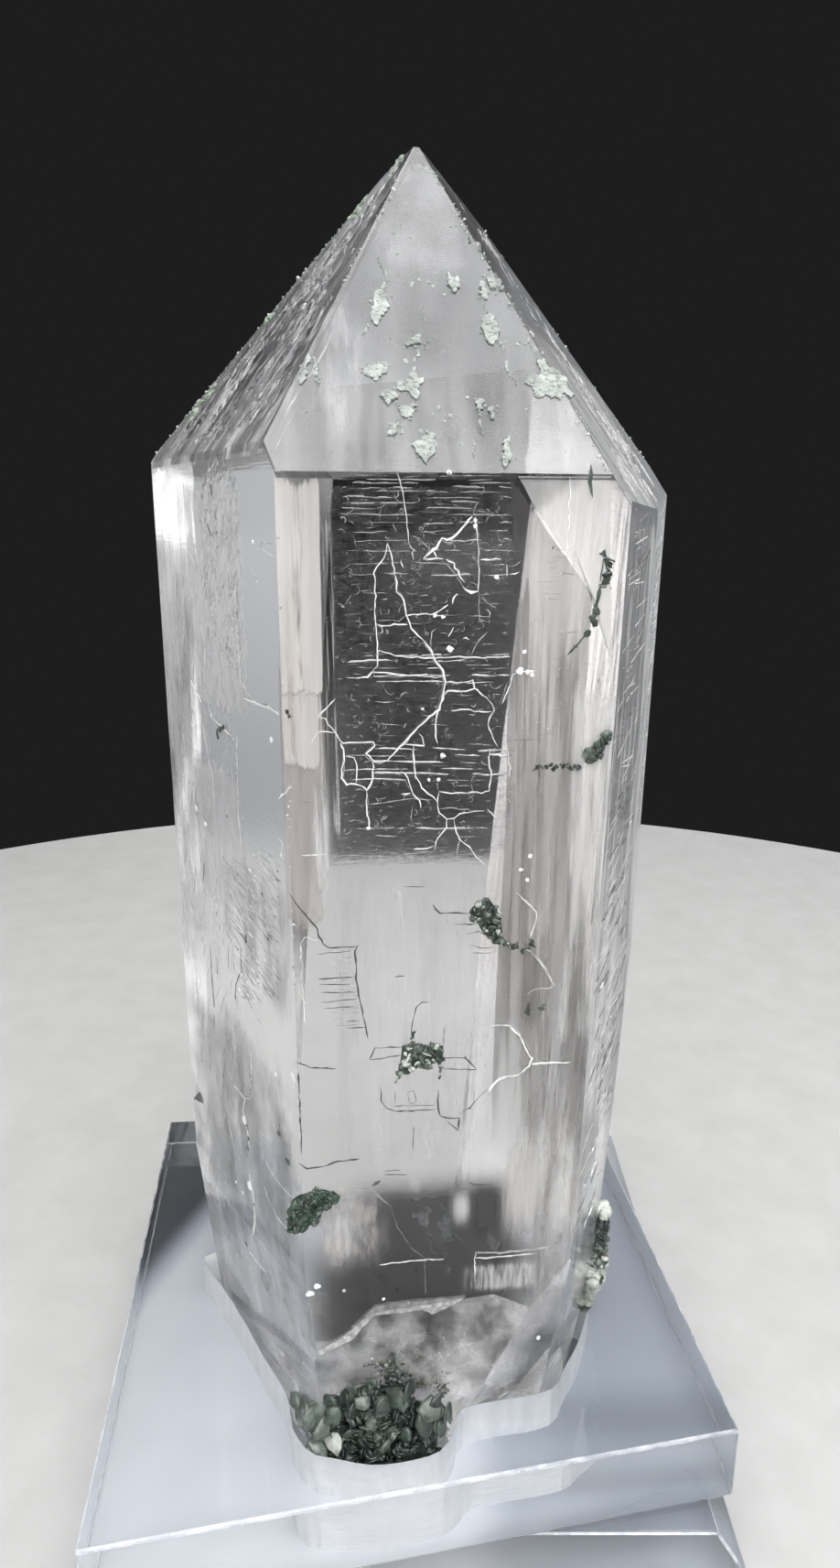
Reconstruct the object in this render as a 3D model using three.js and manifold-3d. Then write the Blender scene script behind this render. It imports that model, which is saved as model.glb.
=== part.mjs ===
// Chlorite quartz crystal standing in a two-sheet clear acrylic holder.
// Millimetres, +Z up. The origin is the middle of the object's footprint, at the underside of the lower block.
// The broad prism face looks along -Y, to the front.
import * as THREE from "three";
import { ConvexGeometry } from "three/addons/geometries/ConvexGeometry.js";
import { mergeVertices } from "three/addons/utils/BufferGeometryUtils.js";
import Module from "manifold-3d";

const wasm = await Module();
wasm.setup();

// ---------------------------------------------------------------- driving dimensions
const GAP = 0.3;                 // clearance between pieces that touch
const SHEET = 12;                // thickness of both acrylic sheets

// lower block, a rectangle with a bevel round its upper edge
const BLOCK_X = [-40.6, 49.6];
const BLOCK_Y = [-45.35, 53.65];
const BLOCK_BEVEL = 3.6;

// upper slab, sawn a little out of square and turned on the block
const SLAB_CORNERS = [[-39.25, -53.65], [49.65, -36.75], [40.4, 43.6], [-49.65, 36.25]];
const SLAB_Z = SHEET + GAP;

// outline of the pocket sawn through the slab, following the foot of the crystal
const POCKET = [
  [-33.9, -3.3], [-31.3, -7.6], [-28.9, -10.6], [-24.4, -17.2], [-20.2, -24.0], [-15.3, -31.6],
  [-13.9, -36.6], [-10.9, -40.2], [-7.4, -41.0], [-2.6, -41.9], [2.4, -41.4], [7.2, -39.7],
  [9.0, -36.6], [9.9, -33.7], [14.6, -32.1], [21.3, -30.9], [24.4, -29.5], [26.2, -26.2],
  [27.9, -23.6], [30.2, -18.8], [32.3, -10.6], [29.2, -7.6], [22.6, -3.8], [14.6, 4.2],
  [7.4, 10.9], [-1.0, 11.2], [-10.5, 11.3], [-19.8, 11.4], [-25.9, 3.4], [-30.6, -1.6],
];
const POCKET_STEPS = 96;

// the crystal: faces as [name, azimuth, inclination, distance from the seat point].
// Azimuth 0 faces the front and +90 faces +X; inclination is degrees above the horizontal.
const SEAT = [3.0, -9.0, SHEET + GAP];
const FACES = [
  ["m_front", 5.98, -1.33, 25.51],
  ["m_left", -54.03, -0.55, 27.71],
  ["m_right", 66.0, -1.62, 28.94],
  ["m_right_narrow", 73.0, -0.52, 31.46],
  ["m_back_left", -125.73, 1.69, 30.64],
  ["m_back_right", 133.11, -6.08, 13.71],
  ["m_back", 179.0, -3.22, 18.47],
  ["r_front", 6.16, 33.8, 102.74],
  ["z_left", -55.16, 37.75, 111.51],
  ["z_right", 67.95, 36.12, 107.95],
  ["r_back_left", -113.91, 40.1, 116.66],
  ["r_back_right", 124.45, 36.67, 111.35],
  ["z_back", -175.01, 39.09, 111.65],
  ["tip", 40.0, 82.0, 178.95],
  ["foot_left", -54.03, -5.55, 24.21],
  ["foot_back_left", -125.73, -1.31, 28.73],
  ["foot_back", 179.0, -5.22, 17.28],
  ["foot_right", 88.0, -6.2, 25.61],
  ["foot_front", 5.98, -5.6, 23.35],
  ["foot_front_right", 20.12, -10.87, 22.6],
  ["foot_corner", 59.18, -9.84, 24.43],
  ["foot", 0.0, -90.0, 0.0],
];

// a flake broken off the front face above the foot: its upper edge, as x, z on that face
const FLAKE_EDGE = [[-9.65, 37.4], [-2.65, 43.8], [10.65, 45.1]];
const FLAKE_DEPTH = [[-9.65, 37.0, 1.1], [12.5, 45.5, 0.05], [-2.0, 15.0, 2.0]];   // x, z, depth of its floor

// a growth seam pinched into the left edge
const SEAM_Z = 61.0, SEAM_DEPTH = 2.3, SEAM_UP = 5.5, SEAM_DOWN = 3.8;

// hollows in the quartz that chlorite has filled: [centre, radii, turn about Y in degrees]
const HOLLOWS = {
  foot: [[-1.85, -34.0, 21.6], [12.2, 6.4, 13.6], 0],
  edge: [[-9.6, -36.9, 61.0], [5.0, 2.6, 3.4], -38],
  upper: [[14.1, -35.5, 101.0], [5.2, 2.0, 2.1], 46],
  lower: [[4.4, -36.3, 82.9], [3.3, 2.0, 2.2], 12],
  right: [[25.2, -35.0, 123.2], [3.1, 1.9, 2.0], -25],
};

// ---------------------------------------------------------------- helpers
const rad = (d) => (d * Math.PI) / 180;
const v3 = (a) => new THREE.Vector3(a[0], a[1], a[2]);

function randomFrom(seed) {
  let s = seed >>> 0;
  return () => {
    s = (Math.imul(s, 1664525) + 1013904223) >>> 0;
    return s / 4294967296;
  };
}

function toSolid(geometry) {
  const g = geometry.clone();
  g.deleteAttribute("normal");
  g.deleteAttribute("uv");
  const m = mergeVertices(g, 1e-4);
  return new wasm.Manifold(new wasm.Mesh({
    numProp: 3,
    vertProperties: new Float32Array(m.attributes.position.array),
    triVerts: new Uint32Array(m.index.array),
  }));
}

// back to a geometry, keeping only the largest connected shell so that no crumb is left behind
function toGeometry(solid) {
  const mesh = solid.getMesh();
  const tris = mesh.triVerts, verts = mesh.vertProperties, n = mesh.numProp;
  const root = Array.from({ length: verts.length / n }, (_, i) => i);
  const find = (i) => { while (root[i] !== i) { root[i] = root[root[i]]; i = root[i]; } return i; };
  if (mesh.mergeFromVert) mesh.mergeFromVert.forEach((a, i) => { root[find(a)] = find(mesh.mergeToVert[i]); });
  for (let t = 0; t < tris.length; t += 3) {
    root[find(tris[t])] = find(tris[t + 1]);
    root[find(tris[t + 1])] = find(tris[t + 2]);
  }
  const volume = new Map();
  const p = (i) => new THREE.Vector3(verts[i * n], verts[i * n + 1], verts[i * n + 2]);
  for (let t = 0; t < tris.length; t += 3) {
    const k = find(tris[t]);
    const dv = p(tris[t]).dot(p(tris[t + 1]).cross(p(tris[t + 2]))) / 6;
    volume.set(k, (volume.get(k) || 0) + dv);
  }
  const best = [...volume.entries()].sort((a, b) => b[1] - a[1])[0][0];
  const pos = [];
  for (let t = 0; t < tris.length; t += 3) {
    if (find(tris[t]) !== best) continue;
    for (let c = 0; c < 3; c++) pos.push(...p(tris[t + c]).toArray());
  }
  let g = new THREE.BufferGeometry();
  g.setAttribute("position", new THREE.Float32BufferAttribute(pos, 3));
  g = mergeVertices(g, 1e-5);
  g.computeVertexNormals();
  return g;
}

// a plane as { n, d }: the solid side is where n.p <= d
function facePlane([, az, inc, dist], grow = 0) {
  const n = new THREE.Vector3(
    Math.sin(rad(az)) * Math.cos(rad(inc)), -Math.cos(rad(az)) * Math.cos(rad(inc)), Math.sin(rad(inc)));
  return { n, d: n.dot(v3(SEAT)) + dist + grow };
}

function threePointPlane(a, b, c, inside) {
  const n = b.clone().sub(a).cross(c.clone().sub(a)).normalize();
  if (n.dot(inside.clone().sub(a)) > 0) n.negate();
  return { n, d: n.dot(a) };
}

function convexFromPlanes(planes) {
  const pts = [];
  for (let i = 0; i < planes.length; i++)
    for (let j = i + 1; j < planes.length; j++)
      for (let k = j + 1; k < planes.length; k++) {
        const m = new THREE.Matrix3().set(
          ...planes[i].n.toArray(), ...planes[j].n.toArray(), ...planes[k].n.toArray());
        if (Math.abs(m.determinant()) < 1e-7) continue;
        const q = new THREE.Vector3(planes[i].d, planes[j].d, planes[k].d).applyMatrix3(m.invert());
        if (planes.some((f) => f.n.dot(q) > f.d + 1e-5)) continue;
        if (!pts.some((o) => o.distanceTo(q) < 0.02)) pts.push(q);
      }
  return new ConvexGeometry(pts);
}

const front = facePlane(FACES[0]);
function onFront(x, z, depth = 0) {
  const y = (front.d - front.n.x * x - front.n.z * z) / front.n.y;
  return new THREE.Vector3(x, y, z).addScaledVector(front.n, -depth);
}

function ellipsoid([centre, radii, turn], grow = 0, detail = 2) {
  const g = new THREE.IcosahedronGeometry(1, detail);
  g.scale(radii[0] + grow, radii[1] + grow, radii[2] + grow);
  g.rotateY(rad(turn));
  g.translate(...centre);
  return toSolid(g);
}

// overlapping books of six-sided chlorite plates round a core
function books({ core, count, radius, thickness, shell, seed, lean = 1 }) {
  const rnd = randomFrom(seed);
  let solid = ellipsoid(core, 0, 1);
  for (let i = 0; i < count; i++) {
    const u = 2 * rnd() - 1, a = 2 * Math.PI * (i * 0.618034 + 0.12 * rnd());
    const dir = new THREE.Vector3(Math.cos(a) * Math.sqrt(1 - u * u), -Math.abs(Math.sin(a)) * Math.sqrt(1 - u * u), u);
    const r = radius[0] + (radius[1] - radius[0]) * rnd();
    const t = thickness[0] + (thickness[1] - thickness[0]) * rnd();
    const plate = new THREE.CylinderGeometry(r, r * (0.78 + 0.2 * rnd()), t, 6);
    plate.rotateY(rnd() * Math.PI);
    plate.rotateX(rnd() * Math.PI * lean);
    plate.rotateZ(rnd() * Math.PI * lean);
    const [c, s, turn] = core;
    const at = new THREE.Vector3(dir.x * s[0] * shell, dir.y * s[1] * shell, dir.z * s[2] * shell)
      .applyAxisAngle(new THREE.Vector3(0, 1, 0), rad(turn)).add(v3(c));
    plate.translate(at.x, at.y, at.z);
    solid = solid.add(toSolid(plate));
  }
  return solid;
}

// ---------------------------------------------------------------- outlines
function pocketPoints(inset = 0) {
  const curve = new THREE.CatmullRomCurve3(POCKET.map(([x, y]) => new THREE.Vector3(x, y, 0)), true, "centripetal");
  const pts = [];
  for (let i = 0; i < POCKET_STEPS; i++) {
    const p = curve.getPointAt(i / POCKET_STEPS);
    const t = curve.getTangentAt(i / POCKET_STEPS);
    pts.push(new THREE.Vector2(p.x - t.y * inset, p.y + t.x * inset));
  }
  return pts;
}

// ---------------------------------------------------------------- pieces
const group = new THREE.Group();
function piece(name, geometry, color, roughness, metalness = 0) {
  const material = new THREE.MeshStandardMaterial({ color, roughness, metalness, flatShading: true });
  const mesh = new THREE.Mesh(geometry, material);
  mesh.name = name;
  group.add(mesh);
  return mesh;
}

// lower block
{
  const [x0, x1] = BLOCK_X, [y0, y1] = BLOCK_Y, b = BLOCK_BEVEL, pts = [];
  for (const x of [x0, x1]) for (const y of [y0, y1]) {
    pts.push(new THREE.Vector3(x, y, 0), new THREE.Vector3(x, y, SHEET - b));
    pts.push(new THREE.Vector3(x + (x === x0 ? b : -b), y + (y === y0 ? b : -b), SHEET));
  }
  const g = new ConvexGeometry(pts);
  piece("acrylic_block", toGeometry(toSolid(g)), "#dfe3ea", 0.08);
}

// upper slab with its pocket
{
  const shape = new THREE.Shape(SLAB_CORNERS.map(([x, y]) => new THREE.Vector2(x, y)));
  shape.holes.push(new THREE.Path(pocketPoints(0)));
  const g = new THREE.ExtrudeGeometry(shape, { depth: SHEET, bevelEnabled: false, curveSegments: 1 });
  g.translate(0, 0, SLAB_Z);
  g.deleteAttribute("normal");
  g.deleteAttribute("uv");
  const m = mergeVertices(g, 1e-4);
  m.computeVertexNormals();
  piece("acrylic_slab", m, "#e4e8ee", 0.08);
}

// the quartz crystal
const seamTool = (() => {
  const left = facePlane(FACES[1]), back = facePlane(FACES[4]);
  const m = new THREE.Matrix3().set(...left.n.toArray(), ...back.n.toArray(), 0, 0, 1);
  const edge = new THREE.Vector3(left.d, back.d, SEAM_Z).applyMatrix3(m.invert());
  const out = new THREE.Vector3(Math.sin(rad(-84)), -Math.cos(rad(-84)), 0);
  const along = new THREE.Vector3(-out.y, out.x, 0);
  const pts = [];
  for (const s of [-14, 14]) {
    pts.push(edge.clone().addScaledVector(out, -SEAM_DEPTH).addScaledVector(along, s));
    pts.push(edge.clone().addScaledVector(out, 3).addScaledVector(along, s).add(new THREE.Vector3(0, 0, SEAM_UP)));
    pts.push(edge.clone().addScaledVector(out, 3).addScaledVector(along, s).add(new THREE.Vector3(0, 0, -SEAM_DOWN)));
  }
  return toSolid(new ConvexGeometry(pts));
})();

const flakeTool = (() => {
  const inside = new THREE.Vector3(0, -38, 20);       // a point in the broken-away material
  const [a, b, c] = FLAKE_EDGE.map(([x, z]) => onFront(x, z));
  const slope = new THREE.Vector3(0, 1, -1);
  const floor = FLAKE_DEPTH.map(([x, z, depth]) => onFront(x, z, depth));
  return toSolid(convexFromPlanes([
    threePointPlane(a, b, a.clone().add(slope), inside),
    threePointPlane(b, c, b.clone().add(slope), inside),
    threePointPlane(...floor, new THREE.Vector3(0, -60, 20)),
    { n: new THREE.Vector3(0, -1, 0), d: 45 },
    { n: new THREE.Vector3(0, 0, -1), d: -5 },
    { n: new THREE.Vector3(-1, 0, 0), d: 30 },
    { n: new THREE.Vector3(1, 0, 0), d: 40 },
  ]));
})();

const rough = (grow) => toSolid(convexFromPlanes(FACES.map((f) => facePlane(f, grow))));

let quartz = rough(0).subtract(seamTool).subtract(flakeTool);
for (const h of Object.values(HOLLOWS)) quartz = quartz.subtract(ellipsoid(h));
piece("quartz_crystal", toGeometry(quartz), "#eceef0", 0.05);

// chlorite keeps clear of the quartz by the gap: the quartz grown by it, less the hollows shrunk by it
let keepOut = rough(GAP);
for (const h of Object.values(HOLLOWS)) keepOut = keepOut.subtract(ellipsoid(h, -GAP));
// and it stays inside the pocket
const pocketShape = new THREE.Shape(pocketPoints(0.45));
const pocketRoom = toSolid(new THREE.ExtrudeGeometry(pocketShape, { depth: 40, bevelEnabled: false })
  .translate(0, 0, SHEET + GAP));

const chlorite = (name, lump, color) => piece(name, toGeometry(lump.subtract(keepOut)), color, 0.55);

chlorite("chlorite_foot_cluster", books({
  core: [[-2.2, -35.0, 20.6], [9.4, 5.4, 11.6], 0], count: 30, radius: [2.2, 3.8], thickness: [1.0, 1.7],
  shell: 0.98, seed: 11,
}).add(ellipsoid([[0.2, -35.0, 31.5], [3.0, 1.9, 4.6], 0], 0, 1)).intersect(pocketRoom), "#3f5a4b");

chlorite("chlorite_edge_patch", books({
  core: [[-9.6, -37.0, 61.0], [4.4, 1.7, 2.8], -38], count: 12, radius: [1.1, 1.8], thickness: [0.7, 1.0],
  shell: 0.9, seed: 23,
}), "#4a6a55");

const flush = rough(0.15);       // the fillings of the pits end level with the faces
chlorite("chlorite_pit_upper", books({
  core: [[14.1, -35.2, 101.0], [4.7, 1.3, 1.6], 46], count: 9, radius: [0.9, 1.4], thickness: [0.5, 0.8],
  shell: 0.75, seed: 31,
}).intersect(flush), "#3c5546");

chlorite("chlorite_pit_lower", books({
  core: [[4.4, -36.0, 82.9], [2.8, 1.2, 1.7], 12], count: 8, radius: [0.9, 1.4], thickness: [0.5, 0.8],
  shell: 0.75, seed: 37,
}).intersect(flush), "#3c5546");

chlorite("chlorite_pit_right", books({
  core: [[25.2, -34.6, 123.2], [2.6, 1.2, 1.5], -25], count: 7, radius: [0.8, 1.3], thickness: [0.5, 0.8],
  shell: 0.75, seed: 41,
}).intersect(flush), "#3c5546");

// the crust that runs down the lower right edge
{
  const rnd = randomFrom(53);
  let crust = null;
  const from = new THREE.Vector3(32.2, -16.4, 45.6), to = new THREE.Vector3(30.2, -15.2, 28.4);
  const beads = 11;
  for (let i = 0; i < beads; i++) {
    const t = i / (beads - 1);
    const at = from.clone().lerp(to, t);
    const r = 1.6 + 0.6 * Math.sin(Math.PI * t) + 0.3 * rnd();
    const lump = ellipsoid([[at.x + 0.3 * (rnd() - 0.5), at.y + 1.6 * (rnd() - 0.5), at.z], [r * 0.85, r * 1.25, r * 1.05], 20 * rnd()], 0, 1);
    crust = crust ? crust.add(lump) : lump;
  }
  chlorite("chlorite_edge_crust", crust, "#8d9c90");
}

export default group;
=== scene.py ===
import math

import bmesh
import bpy
import numpy as np
from mathutils import Matrix, Vector


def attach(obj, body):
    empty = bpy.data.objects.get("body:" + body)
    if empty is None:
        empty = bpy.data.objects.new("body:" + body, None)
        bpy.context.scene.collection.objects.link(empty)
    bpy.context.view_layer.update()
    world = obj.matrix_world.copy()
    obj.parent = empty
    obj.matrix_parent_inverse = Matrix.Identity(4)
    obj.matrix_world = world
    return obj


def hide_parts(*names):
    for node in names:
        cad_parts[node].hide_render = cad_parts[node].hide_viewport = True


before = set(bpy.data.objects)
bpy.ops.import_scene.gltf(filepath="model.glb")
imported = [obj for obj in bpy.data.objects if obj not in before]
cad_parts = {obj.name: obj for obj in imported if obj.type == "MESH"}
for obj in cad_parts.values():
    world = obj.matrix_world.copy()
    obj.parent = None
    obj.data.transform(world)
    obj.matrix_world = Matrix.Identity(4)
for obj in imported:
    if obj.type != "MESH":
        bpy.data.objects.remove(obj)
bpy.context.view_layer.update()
MM = 0.001
scene = bpy.context.scene

# ------------------------------------------------------------------ camera (millimetres and degrees here, metres in Blender)
EYE = np.array([4.15, -144.35, 148.9])
PITCH = math.radians(15.26)
FOCAL = 1050.0                      # in pixels of the 918 x 1713 frame
MIDDLE = (459.0, 856.5)

cam_data = bpy.data.cameras.new("camera")
cam_data.sensor_fit = "AUTO"
cam_data.sensor_width = 36.0
cam_data.lens = 36.0 * FOCAL / 1713.0
cam_data.clip_start = 0.005
cam_data.clip_end = 20.0
cam = bpy.data.objects.new("camera", cam_data)
scene.collection.objects.link(cam)
cam.location = EYE * MM
cam.rotation_euler = (math.pi / 2 - PITCH, 0.0, 0.0)
scene.camera = cam


def ray(px, py):
    x, y = (px - MIDDLE[0]) / FOCAL, -(py - MIDDLE[1]) / FOCAL
    d = np.array([x, math.cos(PITCH) + y * math.sin(PITCH), -math.sin(PITCH) + y * math.cos(PITCH)])
    return d / np.linalg.norm(d)


# ------------------------------------------------------------------ the crystal's faces: azimuth, lean, distance from SEAT
SEAT = np.array([3.0, -9.0, 12.3])
FACES = {
    "m_front": (5.98, -1.33, 25.51), "m_left": (-54.03, -0.55, 27.71), "m_right": (66.0, -1.62, 28.94),
    "m_right_narrow": (73.0, -0.52, 31.46), "m_back_left": (-125.73, 1.69, 30.64),
    "m_back_right": (133.11, -6.08, 13.71), "m_back": (179.0, -3.22, 18.47),
    "r_front": (6.16, 33.8, 102.74), "z_left": (-55.16, 37.75, 111.51), "z_right": (67.95, 36.12, 107.95),
    "r_back_left": (-113.91, 40.1, 116.66), "r_back_right": (124.45, 36.67, 111.35), "z_back": (-175.01, 39.09, 111.65),
    "tip": (40.0, 82.0, 178.95),
    "foot_left": (-54.03, -5.55, 24.21), "foot_back_left": (-125.73, -1.31, 28.73), "foot_back": (179.0, -5.22, 17.28),
    "foot_right": (88.0, -6.2, 25.61), "foot_front": (5.98, -5.6, 23.35), "foot_front_right": (20.12, -10.87, 22.6),
    "foot_corner": (59.18, -9.84, 24.43), "foot": (0.0, -90.0, 0.0),
}


class Plane:
    def __init__(self, az, lean, dist):
        a, l = math.radians(az), math.radians(lean)
        self.n = np.array([math.sin(a) * math.cos(l), -math.cos(a) * math.cos(l), math.sin(l)])
        self.co = SEAT + self.n * dist
        self.d = float(self.n @ self.co)
        up = np.array([0.0, 0.0, 1.0])
        u = np.cross(up, self.n)
        if np.linalg.norm(u) < 1e-6:
            u = np.array([1.0, 0.0, 0.0])
        self.u = u / np.linalg.norm(u)
        self.v = np.cross(self.n, self.u)

    def uv(self, p):
        q = np.asarray(p) - self.co
        return np.stack([q @ self.u, q @ self.v], axis=-1)

    def at(self, uv, lift=0.0):
        uv = np.asarray(uv, dtype=float)
        return self.co + uv[..., :1] * self.u + uv[..., 1:2] * self.v + self.n * lift


FACE = {k: Plane(*v) for k, v in FACES.items()}


def on(face, points, lift=0.0):
    """Points of the 918 x 1713 frame, laid on a face of the crystal."""
    f = FACE[face]
    out = []
    for px, py in points:
        d = ray(px, py)
        t = (f.d - f.n @ EYE) / (f.n @ d)
        out.append(EYE + t * d + f.n * lift)
    return np.array(out)


def part(x0, y0, k):
    """Turns points read in an enlarged piece of the frame into points of the frame."""
    return lambda pts: [(x0 + x / k, y0 + y / k) for x, y in pts]


# ------------------------------------------------------------------ mesh building
class Soup:
    """Many closed bodies gathered into one mesh, in millimetres."""

    def __init__(self):
        self.v, self.f, self.m = [], [], []

    def add(self, verts, faces, mat=0):
        k = len(self.v)
        self.v.extend([tuple(float(c) for c in p) for p in verts])
        self.f.extend([tuple(k + i for i in f) for f in faces])
        self.m.extend([mat] * len(faces))

    def mesh(self, name, scale=1.0, fix=True):
        me = bpy.data.meshes.new(name)
        me.from_pydata([tuple(c * scale for c in p) for p in self.v], [], self.f)
        me.polygons.foreach_set("material_index", self.m)
        if fix:
            bm = bmesh.new()
            bm.from_mesh(me)
            bmesh.ops.recalc_face_normals(bm, faces=bm.faces)
            bm.to_mesh(me)
            bm.free()
        me.update()
        return me

    def object(self, name, scale=MM, fix=True):
        o = bpy.data.objects.new(name, self.mesh(name, scale, fix))
        scene.collection.objects.link(o)
        return o


def prism(plane, outline, low, high, draw_in=0.0):
    """A flat-topped body on a face: its outline at `low`, drawn in towards its middle by draw_in per mm at `high`."""
    uv = np.asarray(outline, dtype=float)
    area2 = np.sum(uv[:, 0] * np.roll(uv[:, 1], -1) - np.roll(uv[:, 0], -1) * uv[:, 1])
    if area2 < 0:
        uv = uv[::-1]
    mid = uv.mean(0)
    _, axes = np.linalg.eigh(np.cov((uv - mid).T) + np.eye(2) * 1e-9)
    local = (uv - mid) @ axes
    half = np.maximum(0.5 * (local.max(0) - local.min(0)), 1e-3)
    scale = np.clip(1.0 - draw_in * abs(high) / half, 0.5, 1.0)
    top = mid + (local * scale) @ axes.T
    k = len(uv)
    verts = np.vstack([plane.at(uv, low), plane.at(top, high)])
    faces = [tuple(range(k))[::-1], tuple(range(k, 2 * k))] + [(i, (i + 1) % k, k + (i + 1) % k, k + i) for i in range(k)]
    return verts, faces


def resample(pts, step):
    pts = np.asarray(pts, dtype=float)
    out = [pts[0]]
    for a, b in zip(pts[:-1], pts[1:]):
        n = max(1, int(round(np.linalg.norm(b - a) / step)))
        out += [a + (b - a) * (i + 1) / n for i in range(n)]
    return np.array(out)


def line_body(plane, pts3, width, up, down, rng, step=0.9, wobble=0.05, taper=0.25, lift=0.0):
    """A thin body of three-sided section along a line on a face: `down` below the face at its middle, `up` at its sides."""
    uv = plane.uv(pts3)
    uv = resample(uv, step)
    n = len(uv)
    if n < 2:
        return None
    t = np.gradient(uv, axis=0)
    t /= np.maximum(np.linalg.norm(t, axis=1, keepdims=True), 1e-9)
    side = np.stack([-t[:, 1], t[:, 0]], 1)
    if n > 2:
        uv[1:-1] += side[1:-1] * rng.normal(0, wobble, (n - 2, 1))
    w = width * (1.0 + 0.35 * rng.standard_normal(n)).clip(0.45, 1.8)
    w[0] *= taper
    w[-1] *= taper
    a = plane.at(uv + side * w[:, None] / 2, lift + up)
    b = plane.at(uv - side * w[:, None] / 2, lift + up)
    c = plane.at(uv, lift + down)
    verts = np.stack([a, b, c], 1).reshape(-1, 3)
    faces = [(0, 1, 2), (3 * n - 1, 3 * n - 2, 3 * n - 3)]
    for i in range(n - 1):
        p, q = 3 * i, 3 * i + 3
        faces += [(p, q, q + 1, p + 1), (p + 1, q + 1, q + 2, p + 2), (p + 2, q + 2, q, p)]
    return verts, faces


ICO = None


def pebble(centre, radii, rng, rough=0.22, axes=None, detail=1):
    """A small many-sided lump."""
    global ICO
    if ICO is None:
        ICO = {}
    if detail not in ICO:
        bm = bmesh.new()
        bmesh.ops.create_icosphere(bm, subdivisions=detail, radius=1.0)
        ICO[detail] = (np.array([v.co[:] for v in bm.verts]), [tuple(v.index for v in f.verts) for f in bm.faces])
        bm.free()
    v, f = ICO[detail]
    v = v * (1.0 + rough * rng.uniform(-1, 1, (len(v), 1)))
    v = v * np.asarray(radii, dtype=float)
    if axes is not None:
        v = v @ np.asarray(axes)
    return v + np.asarray(centre), f


def random_axes(rng):
    q, _ = np.linalg.qr(rng.standard_normal((3, 3)))
    return q


def batches(items, gap=0.25):
    """Splits bodies into groups in which no two come near each other."""
    info = [(b[0].min(0) - gap, b[0].max(0) + gap, b) for b in items]
    groups = []
    for lo, hi, b in info:
        for g in groups:
            ok = True
            for lo2, hi2, b2 in g:
                if np.all(lo <= hi2) and np.all(lo2 <= hi):
                    if len(b[0]) * len(b2[0]) < 250000:
                        d = np.linalg.norm(b[0][:, None, :] - b2[0][None, :, :], axis=2).min()
                    else:
                        d = 0.0
                    size = min(np.linalg.norm(b[0].max(0) - b[0].min(0)), np.linalg.norm(b2[0].max(0) - b2[0].min(0)))
                    if d < max(gap, 0.55 * min(size, 1.3)):
                        ok = False
                        break
            if ok:
                g.append((lo, hi, b))
                break
        else:
            groups.append([(lo, hi, b)])
    return [[b for _, _, b in g] for g in groups]


def carve(obj, items, operation, gap=0.25):
    """Joins bodies to the object, or takes them away, a group at a time."""
    for group in batches(items, gap):
        s = Soup()
        for v, f in group:
            s.add(v, f)
        tool = s.object("tool", 1.0)
        mod = obj.modifiers.new("carve", "BOOLEAN")
        mod.operation = operation
        mod.solver = "MANIFOLD"
        mod.object = tool
        me = bpy.data.meshes.new_from_object(obj.evaluated_get(bpy.context.evaluated_depsgraph_get()))
        obj.modifiers.remove(mod)
        if len(me.polygons) >= 0.5 * len(obj.data.polygons):
            old, obj.data = obj.data, me
            bpy.data.meshes.remove(old)
        else:
            print("carve left out a group of", len(group))
            bpy.data.meshes.remove(me)
        bpy.data.meshes.remove(tool.data)


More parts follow.
